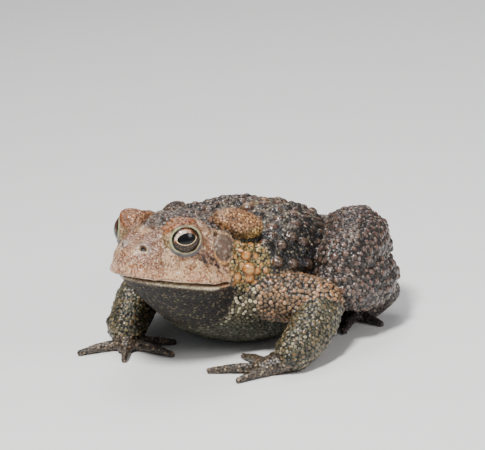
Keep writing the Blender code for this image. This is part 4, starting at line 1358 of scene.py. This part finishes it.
class TOAD_OT_eyes(bpy.types.Operator):
    """Make both eyes, each with its pupil level and its gaze along the lids' opening"""
    bl_idname = "toad.eyes"
    bl_label = "Make the eyes"

    def execute(self, context):
        material = eye_material(context.scene.toad_eyes)
        for name, side in SIDES:
            low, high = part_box("eye_" + name)
            centre = (low + high) / 2
            radius = (high.z - low.z) / 2
            across, up, outward = (Vector(axis) for axis in facing(EYE_AXIS, side))
            bm = bmesh.new()
            bmesh.ops.create_uvsphere(bm, u_segments=96, v_segments=64, radius=radius)
            turn = Matrix((across, up, outward)).transposed().to_4x4()
            bm.transform(Matrix.Translation(centre) @ turn)
            mesh = bpy.data.meshes.new("toad_eye_" + name)
            bm.to_mesh(mesh)
            bm.free()
            mesh.shade_smooth()
            tilt = PUPIL_TILT * side
            reach = [(v.co - centre) / radius for v in mesh.vertices]
            wide = [side * (r.dot(across) * math.cos(tilt) + r.dot(up) * math.sin(tilt)) for r in reach]
            tall = [r.dot(up) * math.cos(tilt) - r.dot(across) * math.sin(tilt) for r in reach]
            # The far eye is marked as barely lit, so its iris gets painted shade and no painted reflection
            lit = [1.0 if side > 0 else FAR_EYE_LIGHT] * len(reach)
            for title, values in (("gaze_across", wide), ("gaze_up", tall), ("lit", lit)):
                layer = mesh.attributes.new(title, "FLOAT", "POINT")
                layer.data.foreach_set("value", values)
            eye = bpy.data.objects.new("toad_eye_" + name, mesh)
            context.scene.collection.objects.link(eye)
            mesh.materials.append(material)
            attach(eye, "root")
            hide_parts("eye_" + name)
        return {"FINISHED"}


class TOAD_OT_stage(bpy.types.Operator):
    """Lay a plain floor, hang soft lights and set the camera"""
    bl_idname = "toad.stage"
    bl_label = "Set the stage"

    def execute(self, context):
        settings = context.scene.toad_stage
        lay_floor(settings)
        hang_lights()
        set_camera(settings)
        return {"FINISHED"}


FLOOR_HALF_SIZE = 3.0
FLOOR_DROP = 0.00002
FLOOR_ROUGHNESS = 0.8


def lay_floor(settings):
    bm = bmesh.new()
    bmesh.ops.create_grid(bm, x_segments=1, y_segments=1, size=FLOOR_HALF_SIZE)
    mesh = bpy.data.meshes.new("floor")
    bm.to_mesh(mesh)
    bm.free()
    floor = bpy.data.objects.new("floor", mesh)
    floor.location.z = -FLOOR_DROP
    bpy.context.scene.collection.objects.link(floor)
    mesh.materials.append(plain_material("floor", settings.floor_colour, FLOOR_ROUGHNESS))


# Soft lights: direction round the toad and up, distance, size and power
LIGHTS = (
    ("key", 20.0, 62.0, 0.6, 0.13, 4.8),
    ("fill", 95.0, 32.0, 0.6, 0.25, 1.0),
    ("rim", 215.0, 62.0, 0.6, 0.35, 1.4),
)
SKY_COLOUR = (0.9, 0.93, 1.0, 1.0)
SKY_STRENGTH = 0.24


def bearing(azimuth, elevation):
    """The way from the toad to what stands so far round it and so far up."""
    level = math.cos(elevation)
    return Vector((math.sin(azimuth) * level, -math.cos(azimuth) * level, math.sin(elevation)))


def hang_lights():
    for name, round_about, height, distance, size, power in LIGHTS:
        back = bearing(math.radians(round_about), math.radians(height))
        lamp = bpy.data.lights.new(name, "AREA")
        lamp.shape = "DISK"
        lamp.size = size
        lamp.energy = power
        light = bpy.data.objects.new(name, lamp)
        light.location = back * distance
        light.rotation_mode = "QUATERNION"
        light.rotation_quaternion = back.to_track_quat("Z", "Y")
        bpy.context.scene.collection.objects.link(light)
    world = bpy.data.worlds.new("studio")
    world.use_nodes = True
    sky = world.node_tree.nodes["Background"]
    sky.inputs["Color"].default_value = SKY_COLOUR
    sky.inputs["Strength"].default_value = SKY_STRENGTH
    bpy.context.scene.world = world


# The photograph's frame, in pixels, and where the toad's middle falls in it
PICTURE = (485.0, 450.0)
MIDDLE_AT = (225.0, 258.0)
AIM = (0.0, 0.0, 20.0)
PIXELS_PER_MM = 4.1
SENSOR = 36.0


def set_camera(settings):
    back = bearing(settings.azimuth, settings.elevation)
    level = Vector((math.cos(settings.azimuth), math.sin(settings.azimuth), 0.0))
    plumb = back.cross(level)
    cos, sin = math.cos(settings.roll), math.sin(settings.roll)
    right = level * cos - plumb * sin
    up = plumb * cos + level * sin
    lens = bpy.data.cameras.new("camera")
    lens.sensor_width = SENSOR
    lens.lens = SENSOR * PIXELS_PER_MM * settings.camera_distance * METRE / PICTURE[0]
    lens.shift_x = (PICTURE[0] / 2 - MIDDLE_AT[0]) / PICTURE[0]
    lens.shift_y = (MIDDLE_AT[1] - PICTURE[1] / 2) / PICTURE[0]
    lens.clip_start = 0.01
    lens.clip_end = 20.0
    camera = bpy.data.objects.new("camera", lens)
    turn = Matrix((right, up, back)).transposed().to_4x4()
    stand = Vector(to_frame(AIM)) + back * settings.camera_distance
    camera.matrix_world = Matrix.Translation(stand) @ turn
    bpy.context.scene.collection.objects.link(camera)
    bpy.context.scene.camera = camera


class TOAD_PT_panel(bpy.types.Panel):
    """The toad's pieces and their sizes"""
    bl_idname = "TOAD_PT_panel"
    bl_label = "American Toad"
    bl_space_type = "VIEW_3D"
    bl_region_type = "UI"
    bl_category = "Toad"

    def draw(self, context):
        for name in SETTINGS:
            column = self.layout.column()
            settings = getattr(context.scene, name)
            for field in settings.bl_rna.properties:
                if not field.is_readonly and field.identifier != "name":
                    column.prop(settings, field.identifier)
            column.operator(name.replace("_", "."))


SETTINGS = {
    "toad_skin": ToadSkinSettings,
    "toad_eyes": ToadEyeSettings,
    "toad_stage": ToadStageSettings,
}
CLASSES = (*SETTINGS.values(), TOAD_OT_skin, TOAD_OT_eyes, TOAD_OT_stage, TOAD_PT_panel)


def register():
    for kind in CLASSES:
        bpy.utils.register_class(kind)
    for name, kind in SETTINGS.items():
        setattr(bpy.types.Scene, name, PointerProperty(type=kind))


def unregister():
    for name in SETTINGS:
        delattr(bpy.types.Scene, name)
    for kind in reversed(CLASSES):
        bpy.utils.unregister_class(kind)


def main():
    register()
    bpy.ops.toad.skin()
    bpy.ops.toad.eyes()
    bpy.ops.toad.stage()


if __name__ == "__main__":
    main()
